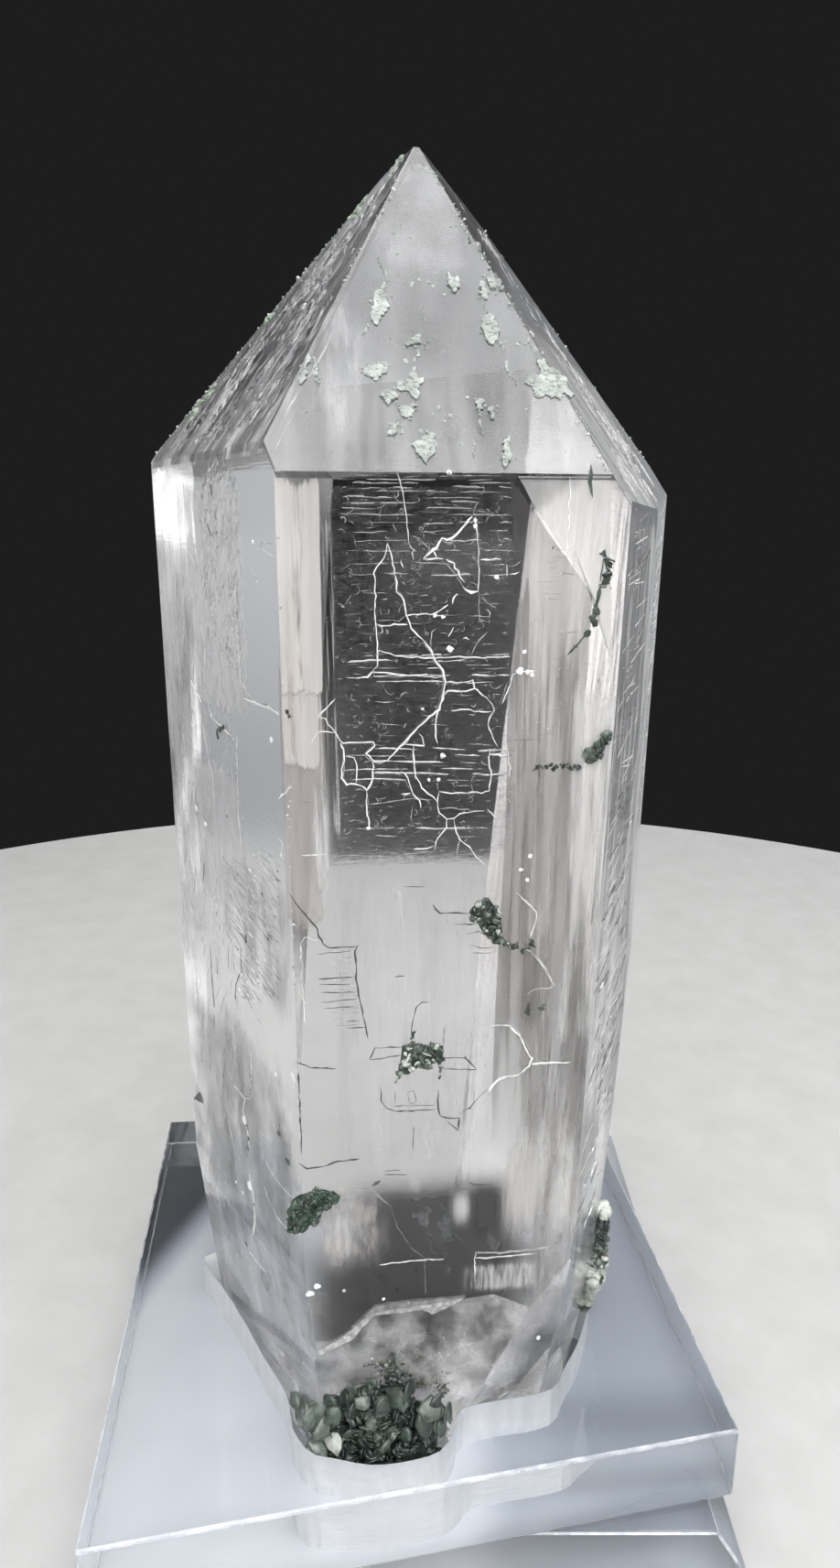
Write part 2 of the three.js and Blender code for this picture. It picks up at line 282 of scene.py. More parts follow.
# ------------------------------------------------------------------ node helpers
class Shade:
    """Builds one procedural material on a Principled shader."""

    def __init__(self, name, **kw):
        self.mat = bpy.data.materials.new(name)
        self.mat.use_nodes = True
        self.nt = self.mat.node_tree
        self.p = self.nt.nodes["Principled BSDF"]
        for k, v in kw.items():
            self.p.inputs[k.replace("_", " ")].default_value = v
        self.co = self.nt.nodes.new("ShaderNodeTexCoord").outputs["Object"]

    def link(self, a, b):
        self.nt.links.new(a, b)

    def put(self, sock, val):
        if hasattr(val, "links"):
            self.link(val, sock)
        elif val is not None:
            sock.default_value = val

    def math(self, op, a, b=None, c=None, clamp=False):
        n = self.nt.nodes.new("ShaderNodeMath")
        n.operation = op
        n.use_clamp = clamp
        self.put(n.inputs[0], a)
        if b is not None:
            self.put(n.inputs[1], b)
        if c is not None:
            self.put(n.inputs[2], c)
        return n.outputs[0]

    def dot(self, vec, offset=0.0):
        """Position (in millimetres) along a direction."""
        n = self.nt.nodes.new("ShaderNodeVectorMath")
        n.operation = "DOT_PRODUCT"
        self.link(self.co, n.inputs[0])
        n.inputs[1].default_value = [c / MM for c in vec]
        return self.math("SUBTRACT", n.outputs["Value"], offset) if offset else n.outputs["Value"]

    def ramp(self, x, a, b, lo=0.0, hi=1.0, smooth=True):
        n = self.nt.nodes.new("ShaderNodeMapRange")
        n.interpolation_type = "SMOOTHSTEP" if smooth else "LINEAR"
        self.put(n.inputs["Value"], x)
        n.inputs["From Min"].default_value = a
        n.inputs["From Max"].default_value = b
        n.inputs["To Min"].default_value = lo
        n.inputs["To Max"].default_value = hi
        return n.outputs["Result"]

    def band(self, x, a, b, soft):
        """1 between a and b, falling off outside."""
        return self.math("MULTIPLY", self.ramp(x, a - soft, a), self.ramp(x, b, b + soft, 1.0, 0.0))

    def frame(self, plane, su, sv, sw=1.0, origin=None):
        """Coordinates along a face's own axes, in millimetres times a scale."""
        co = plane.co if origin is None else origin
        n = self.nt.nodes.new("ShaderNodeCombineXYZ")
        for i, (ax, s) in enumerate(((plane.u, su), (plane.v, sv), (plane.n, sw))):
            self.link(self.dot(ax * s, float(ax @ co) * s + 1e-9), n.inputs[i])
        return n.outputs[0]

    def scaled(self, sx, sy, sz):
        n = self.nt.nodes.new("ShaderNodeVectorMath")
        n.operation = "MULTIPLY"
        self.link(self.co, n.inputs[0])
        n.inputs[1].default_value = (sx / MM, sy / MM, sz / MM)
        return n.outputs[0]

    def noise(self, vec, scale=1.0, detail=3.0, rough=0.55, lac=2.0, distortion=0.0, kind="FBM"):
        n = self.nt.nodes.new("ShaderNodeTexNoise")
        n.noise_type = kind
        n.normalize = True
        self.link(vec, n.inputs["Vector"])
        n.inputs["Scale"].default_value = scale
        n.inputs["Detail"].default_value = detail
        n.inputs["Roughness"].default_value = rough
        n.inputs["Lacunarity"].default_value = lac
        n.inputs["Distortion"].default_value = distortion
        return n.outputs["Fac"]

    def voronoi(self, vec, scale=1.0, feature="F1", out="Distance", randomness=1.0):
        n = self.nt.nodes.new("ShaderNodeTexVoronoi")
        n.feature = feature
        self.link(vec, n.inputs["Vector"])
        n.inputs["Scale"].default_value = scale
        n.inputs["Randomness"].default_value = randomness
        return n.outputs[out]

    def colour(self, fac, stops):
        n = self.nt.nodes.new("ShaderNodeValToRGB")
        self.put(n.inputs[0], fac)
        el = n.color_ramp.elements
        while len(el) < len(stops):
            el.new(0.5)
        for e, (pos, col) in zip(el, stops):
            e.position = pos
            e.color = (*col, 1.0)
        return n.outputs[0]

    def bump(self, height, distance, strength=1.0, normal=None):
        n = self.nt.nodes.new("ShaderNodeBump")
        n.inputs["Strength"].default_value = strength
        n.inputs["Distance"].default_value = distance * MM
        self.link(height, n.inputs["Height"])
        if normal is not None:
            self.link(normal, n.inputs["Normal"])
        return n.outputs["Normal"]

    def set(self, **kw):
        for k, v in kw.items():
            self.put(self.p.inputs[k.replace("_", " ")], v)
        return self.mat


def finish_piece(obj, mats, replaces=(), smooth=False):
    obj.data.validate()
    which = np.zeros(len(obj.data.polygons), dtype=np.int32)
    obj.data.polygons.foreach_get("material_index", which)
    obj.data.materials.clear()
    for m in mats:
        obj.data.materials.append(m)
    obj.data.polygons.foreach_set("material_index", which)
    if smooth:
        obj.data.polygons.foreach_set("use_smooth", [True] * len(obj.data.polygons))
    else:
        obj.data.polygons.foreach_set("use_smooth", [False] * len(obj.data.polygons))
    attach(obj, "root")
    if replaces:
        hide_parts(*replaces)
    return obj


# ------------------------------------------------------------------ what is drawn on the faces, in points of the frame
A = part(340, 505, 6.272)           # dark window, upper half
B = part(330, 700, 5.807)           # dark window, lower half
C = part(310, 940, 4.357)           # pale window
D = part(550, 495, 3.872)           # right side, upper half
E = part(530, 880, 3.335)           # right side, lower half
G = part(155, 480, 5.058)           # left face, upper half
H = part(170, 780, 4.611)           # left face, middle
J = part(190, 1100, 4.900)          # left face, lower part
K = part(320, 155, 4.182)           # front face of the point
L = part(160, 160, 4.354)           # left face of the point
N = part(300, 1270, 4.0205)         # base

# healed cracks: (points, width mm, brightness 0..1)
CRACKS_FRONT = [
    (A([(578, 50), (600, 95), (618, 150), (628, 200), (630, 250), (640, 300), (650, 365), (660, 440), (668, 505), (664, 548), (684, 582), (706, 602), (696, 622), (703, 672)]), 0.16, 0.7),
    (A([(668, 500), (740, 520), (790, 570), (838, 618)]), 0.15, 0.35),
    (A([(768, 662), (800, 625), (836, 598), (855, 585), (870, 545), (900, 520), (930, 520), (965, 525), (990, 495), (1020, 470), (1060, 420), (1105, 370)]), 0.46, 1.0),
    (A([(1105, 370), (1118, 340), (1130, 296), (1160, 262)]), 0.15, 0.6),
    (A([(770, 664), (820, 662), (860, 655), (906, 660)]), 0.42, 1.0),
    (A([(836, 600), (862, 650)]), 0.34, 1.0),
    (A([(880, 655), (905, 678), (940, 714), (975, 752), (1010, 800), (1040, 852)]), 0.22, 0.6),
    (A([(925, 665), (980, 690), (985, 722), (1002, 748), (1022, 782), (1052, 822)]), 0.36, 1.0),
    (A([(1040, 852), (1062, 872), (1100, 884), (1146, 884)]), 0.5, 1.0),
    (A([(1146, 884), (1150, 810), (1154, 740), (1150, 680), (1148, 620), (1145, 560), (1142, 500), (1136, 455), (1130, 420), (1128, 370)]), 0.17, 0.75),
    (A([(1160, 668), (1230, 667), (1302, 664)]), 0.26, 0.75),
    (A([(1340, 700), (1343, 782)]), 0.3, 1.0),
    (A([(1365, 765), (1398, 770), (1426, 752)]), 0.18, 0.7),
    (A([(522, 556), (515, 602), (500, 650), (460, 708), (430, 762), (438, 792), (438, 850), (440, 950), (438, 1050), (441, 1105), (450, 1200), (452, 1280), (447, 1348)]), 0.2, 0.72),
    (A([(524, 556), (540, 602), (552, 652), (562, 702), (575, 760), (585, 822), (588, 886), (620, 915), (640, 945), (648, 1000), (660, 1050), (670, 1100), (690, 1137), (730, 1180), (770, 1222), (800, 1252), (822, 1292), (846, 1342)]), 0.27, 0.95),
    (A([(522, 556), (516, 580)]), 0.42, 1.0),
    (A([(645, 1050), (700, 1040), (760, 1041), (850, 1035), (890, 1010), (940, 975)]), 0.22, 0.7),
    (A([(441, 1105), (482, 1122), (540, 1118), (600, 1108), (662, 1112)]), 0.26, 0.85),
    (A([(458, 1084), (560, 1080), (602, 1090), (645, 1050)]), 0.14, 0.5),
    (A([(482, 1122), (490, 1160), (474, 1174)]), 0.2, 0.85),
    (A([(580, 1328), (690, 1330), (845, 1340), (1000, 1335), (1180, 1340), (1340, 1336)]), 0.2, 0.62),
    (A([(968, 972), (974, 932), (1000, 905), (1010, 912)]), 0.28, 0.8),
    (A([(822, 1282), (820, 1220), (826, 1162), (856, 1140)]), 0.16, 0.5),
    (A([(1070, 1050), (1150, 1055), (1242, 1062)]), 0.14, 0.5),
    (A([(1148, 884), (1150, 980), (1155, 1080), (1222, 1096)]), 0.12, 0.4),
    (A([(737, 1190), (704, 1200), (700, 1226), (722, 1238)]), 0.16, 0.6),
    (A([(296, 520), (310, 575)]), 0.2, 0.6), (A([(560, 425), (582, 470)]), 0.22, 0.7), (A([(612, 672), (632, 722)]), 0.24, 0.8),
    (A([(1210, 1160), (1150, 1220), (1120, 1270), (1100, 1316)]), 0.14, 0.45),
    (A([(1155, 900), (1210, 960), (1262, 1000)]), 0.12, 0.4), (A([(940, 1196), (976, 1132)]), 0.34, 0.8),
    (A([(1040, 1210), (1062, 1200), (1082, 1216)]), 0.3, 0.8), (A([(860, 1050), (926, 1062)]), 0.3, 0.8),
    # lower half
    (B([(775, 0), (800, 30), (825, 70), (842, 115), (870, 155), (895, 190), (908, 230), (912, 262), (905, 302), (893, 352), (880, 402), (870, 436), (830, 466), (790, 502), (740, 547), (690, 602), (640, 656), (600, 692), (562, 736), (540, 762)]), 0.36, 1.0),
    (B([(905, 300), (880, 402)]), 0.5, 1.0),
    (B([(540, 764), (500, 772), (460, 766), (446, 748), (405, 716), (430, 690), (460, 664), (455, 640), (430, 640), (330, 645), (262, 648), (240, 630), (215, 582), (170, 530), (150, 490), (100, 488), (140, 440), (212, 368)]), 0.27, 0.9),
    (B([(245, 650), (262, 692), (260, 760), (255, 822), (252, 870), (285, 912), (340, 910), (390, 926), (410, 952), (435, 915), (446, 860), (452, 800), (447, 766)]), 0.33, 0.95),
    (B([(278, 735), (330, 742), (348, 782), (346, 832), (343, 902)]), 0.2, 0.7),
    (B([(455, 842), (550, 835), (640, 835), (670, 870), (685, 912), (695, 952), (722, 990), (746, 1012), (755, 1062)]), 0.27, 0.85),
    (B([(410, 952), (415, 1022), (412, 1082), (422, 1132), (424, 1186)]), 0.24, 0.75),
    (B([(420, 1038), (500, 1030), (600, 1013), (700, 1000), (800, 1006), (842, 1012)]), 0.2, 0.65),
    (B([(600, 100), (702, 102), (842, 110), (1000, 100), (1150, 106), (1322, 100)]), 0.24, 0.68),
    (B([(290, 235), (420, 232), (445, 200), (560, 206), (620, 212), (760, 225), (908, 232)]), 0.26, 0.85),
    (B([(445, 200), (480, 160), (478, 100), (485, 60), (560, 76), (600, 100)]), 0.22, 0.8),
    (B([(912, 262), (980, 266), (1060, 256), (1086, 246), (1090, 300), (1040, 318), (980, 318), (925, 320), (902, 346)]), 0.32, 1.0),
    (B([(1090, 300), (1130, 326), (1170, 360), (1206, 400), (1218, 440), (1204, 462), (1190, 492), (1180, 530), (1205, 590), (1225, 642), (1246, 676)]), 0.22, 0.85),
    (B([(1196, 690), (1185, 740), (1190, 800), (1203, 850), (1195, 902), (1188, 950), (1140, 965), (1080, 966), (950, 966), (870, 956)]), 0.26, 0.85),
    (B([(870, 956), (862, 1000), (858, 1042), (872, 1092), (920, 1132), (965, 1132), (1000, 1096), (1095, 1085), (1160, 1080)]), 0.22, 0.75),
    (B([(1175, 1066), (1240, 1130)]), 0.22, 0.85),
    (B([(870, 436), (852, 500), (845, 542), (848, 602), (862, 652)]), 0.24, 0.75),
    (B([(710, 665), (712, 762), (722, 862), (760, 930), (830, 990), (858, 1022)]), 0.25, 0.85),
    (B([(690, 602), (660, 656), (702, 660), (772, 662), (765, 612), (742, 588)]), 0.28, 0.85),
    (B([(920, 1132), (915, 1182), (880, 1230), (850, 1272), (842, 1330)]), 0.22, 0.75),
    (B([(965, 1132), (975, 1190), (1000, 1260), (1060, 1312), (1110, 1370), (1160, 1422)]), 0.2, 0.7),
    (B([(1000, 1260), (986, 1320), (985, 1390)]), 0.18, 0.6),
    (B([(0, 1362), (90, 1358), (170, 1350)]), 0.3, 0.95),
    (B([(180, 1365), (360, 1362), (560, 1370), (740, 1346), (830, 1336)]), 0.13, 0.45),
    (B([(710, 1322), (790, 1318), (842, 1300)]), 0.3, 0.7),
    (B([(945, 442), (1036, 436), (1120, 450), (1202, 450)]), 0.24, 0.7),
    (B([(1270, 400), (1290, 350), (1320, 270), (1340, 216), (1366, 204)]), 0.2, 0.85),
    (B([(1385, 192), (1430, 196), (1478, 192)]), 0.3, 1.0),
    (B([(1300, 660), (1310, 742), (1322, 866)]), 0.2, 0.8),
    (B([(1320, 632), (1500, 628)]), 0.2, 0.55), (B([(1205, 852), (1300, 846)]), 0.16, 0.5),
    (B([(60, 652), (90, 592), (120, 576), (216, 586)]), 0.2, 0.7),
    (B([(330, 950), (352, 940), (402, 946)]), 0.14, 0.5), (B([(630, 972), (690, 966)]), 0.3, 0.8),
    (B([(870, 1066), (940, 1060), (1050, 1070), (1096, 1086)]), 0.14, 0.5),
    (B([(700, 1160), (772, 1162)]), 0.16, 0.55), (B([(700, 1040), (696, 1160)]), 0.12, 0.4),
    (B([(860, 880), (866, 950)]), 0.16, 0.6), (B([(460, 385), (530, 392), (590, 385)]), 0.2, 0.5),
    (B([(645, 552), (660, 526)]), 0.4, 0.9), (B([(0, 1028), (60, 1026)]), 0.14, 0.5),
    # right of the windows
    (D([(283, 100), (280, 250), (270, 420)]), 0.22, 0.95),
    (E([(115, 320), (150, 350), (188, 388), (182, 430), (165, 482)]), 0.2, 0.85),
    (E([(175, 540), (210, 582), (250, 652), (235, 666), (176, 670), (155, 690)]), 0.2, 0.85),
    (E([(165, 530), (200, 562), (245, 632)]), 0.14, 0.7),
    (E([(65, 802), (92, 802), (130, 850), (170, 922), (160, 950), (130, 975)]), 0.42, 0.95),
    (E([(130, 975), (100, 986), (50, 994), (14, 1042)]), 0.55, 0.95),
    (E([(20, 802), (72, 800)]), 0.16, 0.7),
    (E([(170, 942), (240, 938), (312, 934)]), 0.55, 0.8),
    (C([(80, 400), (85, 500), (90, 600), (101, 772)]), 0.22, 0.95), (C([(80, 400), (100, 366), (166, 380)]), 0.16, 0.7),
    (C([(1105, 155), (1150, 190), (1206, 246)]), 0.26, 0.85),
    # the base
    (N([(280, 155), (340, 130), (400, 114), (432, 120), (510, 192)]), 0.12, 0.4),
    (N([(510, 192), (540, 282), (600, 372), (660, 420), (742, 430)]), 0.1, 0.4),
    (N([(410, 116), (452, 150), (512, 192)]), 0.16, 0.4),
    (N([(460, 450), (580, 435), (660, 428), (744, 425)]), 0.3, 0.75),
    (N([(660, 420), (661, 500), (662, 580)]), 0.18, 0.6),
    (N([(885, 396), (1000, 396), (1120, 384), (1240, 364), (1262, 300)]), 0.6, 0.55),
    (N([(885, 392), (880, 440), (880, 505)]), 0.24, 0.8),
    (N([(884, 420), (1020, 412), (1140, 400)]), 0.35, 0.95),
]

# cracks lined with dark chlorite
LINES_DARK = [
    (C([(25, 150), (60, 210), (100, 255), (135, 295), (160, 322), (165, 362), (190, 396), (216, 416), (300, 412), (350, 408), (340, 432), (345, 500), (345, 560), (355, 612), (362, 672), (380, 742), (392, 792), (402, 850)]), 0.17),
    (C([(165, 565), (250, 562), (330, 555)]), 0.15), (C([(170, 590), (330, 590)]), 0.08), (C([(180, 630), (342, 628)]), 0.1),
    (C([(180, 676), (346, 660)]), 0.1), (C([(190, 706), (336, 695)]), 0.1), (C([(160, 446), (330, 430)]), 0.09),
    (C([(300, 768), (360, 765)]), 0.08), (C([(305, 798), (390, 796)]), 0.12),
    (C([(710, 210), (745, 250), (885, 252)]), 0.2), (C([(815, 305), (915, 303)]), 0.14), (C([(775, 260), (780, 295)]), 0.08),
    (C([(610, 862), (612, 782), (622, 742), (628, 702), (660, 676), (692, 676)]), 0.13),
    (C([(410, 950), (435, 893), (560, 888)]), 0.14), (C([(410, 950), (560, 926)]), 0.14),
    (C([(760, 940), (865, 938), (920, 995), (756, 993)]), 0.13), (C([(760, 880), (766, 790)]), 0.1),
    (C([(460, 1080), (466, 1142), (490, 1180), (530, 1195), (720, 1186)]), 0.14), (C([(525, 1170), (720, 1166)]), 0.09),
    (C([(530, 1100), (530, 1162)]), 0.07), (C([(590, 1105), (620, 1095), (632, 1150), (600, 1162), (588, 1108)]), 0.07),
    (C([(735, 1090), (735, 1180), (745, 1216), (775, 1226), (836, 1226), (832, 1286), (772, 1236)]), 0.2),
    (C([(836, 1210), (885, 1176), (940, 1116), (975, 1086)]), 0.1),
    (C([(575, 126), (670, 125)]), 0.09), (C([(528, 556), (576, 550)]), 0.1),
    (C([(75, 1442), (110, 1468), (200, 1456), (240, 1436), (360, 1420)]), 0.2),
    (C([(420, 1552), (462, 1524)]), 0.42), (C([(480, 1480), (556, 1474)]), 0.14), (C([(480, 1496), (586, 1496)]), 0.14),
    (C([(885, 1530), (900, 1540), (1000, 1546)]), 0.14),
    (C([(870, 350), (930, 340), (1000, 370)]), 0.09), (C([(880, 400), (940, 415), (1000, 412)]), 0.07),
    (C([(900, 440), (990, 440)]), 0.1), (C([(60, 960), (130, 985), (250, 992)]), 0.2), (C([(620, 1260), (616, 1380)]), 0.07),
    (C([(70, 1010), (76, 1150), (80, 1260), (86, 1400)]), 0.17),
    (D([(410, 565), (395, 640), (386, 700), (378, 726)]), 0.42), (D([(360, 750), (320, 800), (270, 856)]), 0.2),
    (D([(430, 420), (420, 480), (410, 545)]), 0.18),
    (D([(370, 50), (374, 92), (366, 122), (378, 190)]), 0.34),
    (N([(720, 170), (770, 242), (775, 300), (800, 322), (850, 372), (885, 392)]), 0.17),
]

CRACKS_LEFT = [
    (G([(520, 760), (520, 900), (530, 1100), (540, 1250), (546, 1352)]), 0.34, 0.95),
    (G([(546, 1352), (600, 1420)]), 0.28, 0.9),
    (G([(560, 1430), (640, 1460), (700, 1480), (762, 1522)]), 0.55, 1.0),
    (G([(740, 576), (665, 570), (655, 602), (700, 634), (740, 636)]), 0.2, 0.85),
    (G([(600, 702), (640, 792)]), 0.24, 0.8), (G([(250, 602), (290, 686)]), 0.24, 0.8),
    (G([(320, 1020), (345, 1120), (345, 1300), (355, 1400), (370, 1480), (400, 1562)]), 0.24, 0.85),
    (G([(300, 1090), (290, 1200), (268, 1330)]), 0.2, 0.7),
    (G([(268, 1330), (300, 1400), (332, 1452)]), 0.8, 1.0),
    (H([(270, 0), (300, 36), (340, 72), (400, 132)]), 0.45, 1.0),
    (H([(410, 100), (410, 300), (415, 500), (425, 602), (433, 672)]), 0.4, 1.0),
    (H([(230, 0), (250, 122), (270, 242), (286, 292), (292, 382)]), 0.26, 0.8),
    (H([(620, 430), (640, 410), (680, 366)]), 0.5, 1.0), (H([(618, 620), (640, 650), (632, 722)]), 0.26, 0.9),
    (H([(190, 350), (200, 470)]), 0.5, 1.0), (H([(330, 680), (342, 736)]), 0.5, 1.0),
    (J([(485, 960), (510, 1042), (550, 1122), (610, 1196)]), 0.3, 1.0),
    (J([(405, 1310), (440, 1362), (490, 1422)]), 0.26, 0.9),
    (J([(490, 832), (560, 942), (632, 1022)]), 0.2, 0.7), (J([(400, 20), (470, 86)]), 0.22, 0.8),
    (J([(540, 642), (580, 712), (632, 792)]), 0.24, 0.6),
    (J([(530, 630), (560, 670)]), 0.24, 0.8), (J([(290, 600), (310, 692), (332, 802)]), 0.24, 0.75),
    (J([(265, 340), (262, 450), (262, 540), (286, 572)]), 0.55, 0.6),
    (J([(412, 240), (415, 340), (412, 420), (405, 490), (380, 490), (320, 420)]), 0.42, 0.8),
    (J([(380, 490), (370, 560), (385, 622), (395, 662), (400, 722), (400, 792)]), 0.7, 0.7),
    (J([(408, 890), (406, 930), (425, 1010), (430, 1062), (432, 1132), (428, 1190), (418, 1242)]), 0.7, 0.85),
]
LINES_DARK_LEFT = [
    (H([(245, 740), (241, 842)]), 0.2), (H([(275, 1160), (280, 1250), (286, 1352), (296, 1482)]), 0.26),
    (H([(430, 1180), (430, 1300), (405, 1362), (400, 1442)]), 0.22), (G([(470, 580), (478, 600)]), 0.3),
    (G([(375, 240), (395, 330)]), 0.24), (G([(360, 465), (385, 540)]), 0.2),
]
BLOTCH_DARK = {                     # small dark grains: (face, points, radius mm)
    "m_left": [(G([(810, 1520)]), 0.55), (H([(325, 80), (318, 96), (340, 70)]), 0.5), (H([(455, 1130), (458, 1150), (565, 1136)]), 0.32),
               (H([(535, 905), (605, 1020), (620, 922), (614, 832), (616, 795), (440, 1300), (436, 1280), (412, 816), (360, 512)]), 0.17),
               (J([(392, 650), (398, 700), (400, 760)]), 0.34), (J([(558, 674)]), 0.5), (J([(388, 1278)]), 0.36),
               (J([(414, 372), (414, 402), (411, 440), (410, 470)]), 0.2), (J([(262, 352), (430, 1060)]), 0.28), (J([(615, 830)]), 0.5)],
    "m_front": [(D([(378, 728)]), 0.8), (D([(380, 690), (390, 650)]), 0.4), (N([(770, 322), (764, 470)]), 0.62), (E([(150, 738), (156, 752)]), 0.42),
                (E([(205, 745)]), 0.5), (C([(345, 545), (348, 580), (356, 640)]), 0.2), (C([(860, 940)]), 0.24), (C([(884, 1176)]), 0.24),
                (D([(208, 398), (60, 636), (455, 572), (404, 966)]), 0.16), (D([(298, 1320), (306, 820)]), 0.2)],
}
DOTS_BRIGHT = {
    "m_front": [(A([(950, 1276)]), 0.42), (A([(948, 72)]), 0.3), (A([(904, 1062), (848, 1050)]), 0.24), (A([(1272, 790)]), 0.34), (A([(1128, 398), (1128, 436)]), 0.24),
                (B([(892, 732)]), 0.34), (B([(764, 432)]), 0.2), (B([(424, 1188)]), 0.26), (B([(1385, 192)]), 0.5), (B([(1430, 198), (1460, 215)]), 0.3),
                (B([(1448, 1365), (1410, 68)]), 0.26), (B([(805, 880), (866, 880)]), 0.22), (N([(186, 546), (157, 578)]), 0.55), (N([(306, 564), (480, 600)]), 0.26),
                (N([(1160, 770)]), 0.3), (C([(1160, 92), (1130, 45)]), 0.28)],
    "m_left": [(G([(612, 566)]), 0.34), (H([(584, 132)]), 0.4), (H([(205, 478), (250, 556)]), 0.5), (H([(515, 1342), (632, 712)]), 0.3),
               (J([(408, 962)]), 0.9), (J([(545, 362)]), 0.4), (J([(376, 608)]), 0.75), (J([(335, 938), (370, 994)]), 0.3), (J([(640, 380)]), 0.7)],
}

# pale flakes of chlorite on the front face of the point
FLAKES = [
    K([(372, 690), (386, 678), (402, 674), (426, 700), (432, 728), (436, 758), (420, 792), (402, 796), (394, 820), (384, 842), (368, 832), (356, 806), (358, 778), (372, 742)]),
    K([(320, 1046), (344, 1024), (356, 1030), (375, 1010), (402, 1008), (430, 1012), (433, 1058), (402, 1066), (388, 1092), (370, 1094), (356, 1074), (326, 1066)]),
    K([(514, 932), (520, 912), (534, 916), (560, 888), (580, 882), (584, 900), (572, 918), (552, 930), (526, 938)]),
    K([(474, 1112), (492, 1098), (512, 1092), (530, 1068), (548, 1058), (568, 1058), (574, 1084), (600, 1078), (602, 1092), (582, 1108), (574, 1130), (578, 1164), (566, 1182), (546, 1172), (536, 1152), (522, 1138), (494, 1142)]),
    K([(394, 1162), (408, 1146), (426, 1138), (450, 1146), (476, 1148), (480, 1170), (456, 1182), (440, 1206), (428, 1200), (420, 1182)]),
    K([(484, 1226), (500, 1206), (520, 1204), (534, 1214), (546, 1192), (558, 1232), (540, 1250), (528, 1264), (506, 1260), (492, 1248)]),
    K([(432, 1322), (448, 1312), (462, 1304), (476, 1326), (460, 1344), (440, 1344)]),
    K([(540, 1388), (562, 1368), (588, 1364), (612, 1346), (626, 1330), (642, 1336), (648, 1362), (658, 1388), (654, 1418), (630, 1444), (612, 1478), (598, 1460), (586, 1446), (560, 1424), (556, 1402)]),
    K([(862, 816), (876, 794), (900, 784), (918, 794), (916, 818), (932, 838), (942, 872), (938, 908), (918, 930), (892, 924), (876, 896), (864, 858)]),
    K([(1056, 1102), (1076, 1078), (1098, 1066), (1132, 1060), (1122, 1020), (1116, 990), (1136, 1000), (1152, 1002), (1172, 1032), (1200, 1044), (1222, 1052), (1250, 1102), (1290, 1160), (1272, 1172), (1246, 1148), (1224, 1182), (1200, 1166), (1180, 1176), (1150, 1156), (1110, 1170), (1102, 1142), (1092, 1120), (1074, 1112)]),
    K([(702, 590), (714, 600), (726, 632), (736, 652), (756, 614), (764, 628), (752, 664), (736, 694), (724, 664), (708, 632)]),
    K([(842, 1192), (856, 1178), (868, 1188), (864, 1212), (852, 1244), (842, 1222)]),
    K([(896, 1222), (908, 1202), (920, 1206), (916, 1240), (910, 1276), (900, 1252)]),
    K([(956, 1440), (962, 1396), (972, 1366), (992, 1342), (994, 1366), (982, 1396), (992, 1416), (1002, 1426), (984, 1462), (966, 1494), (956, 1480)]),
    K([(854, 650), (866, 644), (876, 672), (890, 700), (884, 726), (866, 722), (858, 690)]),
    K([(886, 636), (906, 612), (932, 650), (928, 676), (900, 672)]),
    K([(60, 980), (74, 966), (86, 984), (70, 1010), (40, 1112), (26, 1108), (34, 1070)]),
]
FLAKE_TAILS = [
    (K([(388, 534), (402, 566), (424, 598), (424, 640), (404, 676)]), 0.42), (K([(358, 812), (344, 846), (318, 884)]), 0.42),
    (K([(612, 914), (602, 950)]), 0.4), (K([(576, 958), (560, 1002), (550, 1044), (556, 1062)]), 0.46), (K([(598, 756), (598, 840)]), 0.22),
    (K([(482, 1270), (464, 1306)]), 0.4), (K([(436, 1346), (424, 1388)]), 0.26), (K([(462, 1170), (476, 1206)]), 0.4),
    (K([(486, 1290), (500, 1330)]), 0.4), (K([(870, 722), (886, 780)]), 0.3), (K([(944, 918), (962, 954)]), 0.4),
    (K([(975, 1008), (982, 1046), (1012, 1082), (1020, 1110)]), 0.4), (K([(852, 1268), (856, 1310), (872, 1338)]), 0.4),
    (K([(735, 660), (722, 690)]), 0.2), (K([(545, 612), (542, 660)]), 0.34), (K([(830, 1372), (832, 1442)]), 0.3),
    (K([(1040, 916), (1080, 930), (1110, 970)]), 0.3), (K([(620, 826), (692, 826)]), 0.12), (K([(96, 985), (104, 1040), (116, 1110)]), 0.5),
]
FLAKE_SPECKS = K([(490, 376), (540, 436), (475, 511), (460, 416), (620, 642), (650, 602), (690, 696), (745, 381), (721, 386), (970, 917), (1028, 925), (1065, 1225), (1300, 1284),
                  (445, 897), (515, 1002), (560, 460), (692, 1276), (715, 1510), (586, 1322), (640, 1246), (668, 1216), (796, 1166), (720, 1250), (768, 1378), (734, 1296), (640, 660), (578, 630), (930, 690)])

# ------------------------------------------------------------------ the quartz
rng = np.random.default_rng(611)


def half_spaces(planes, size=240.0, middle=(0.0, 0.0, 110.0)):
    """The closed body inside all of the planes, each given as (normal, point)."""
    bm = bmesh.new()
    bmesh.ops.create_cube(bm, size=size)
    bmesh.ops.translate(bm, verts=bm.verts, vec=middle)
    for n, co in planes:
        cut = bmesh.ops.bisect_plane(bm, geom=bm.verts[:] + bm.edges[:] + bm.faces[:], dist=1e-4,
                                     plane_co=Vector(co), plane_no=Vector(n), clear_outer=True)["geom_cut"]
        rim = [e for e in cut if isinstance(e, bmesh.types.BMEdge)]
        if len(rim) > 2:
            bmesh.ops.contextual_create(bm, geom=rim)
    bmesh.ops.recalc_face_normals(bm, faces=bm.faces)
    return bm


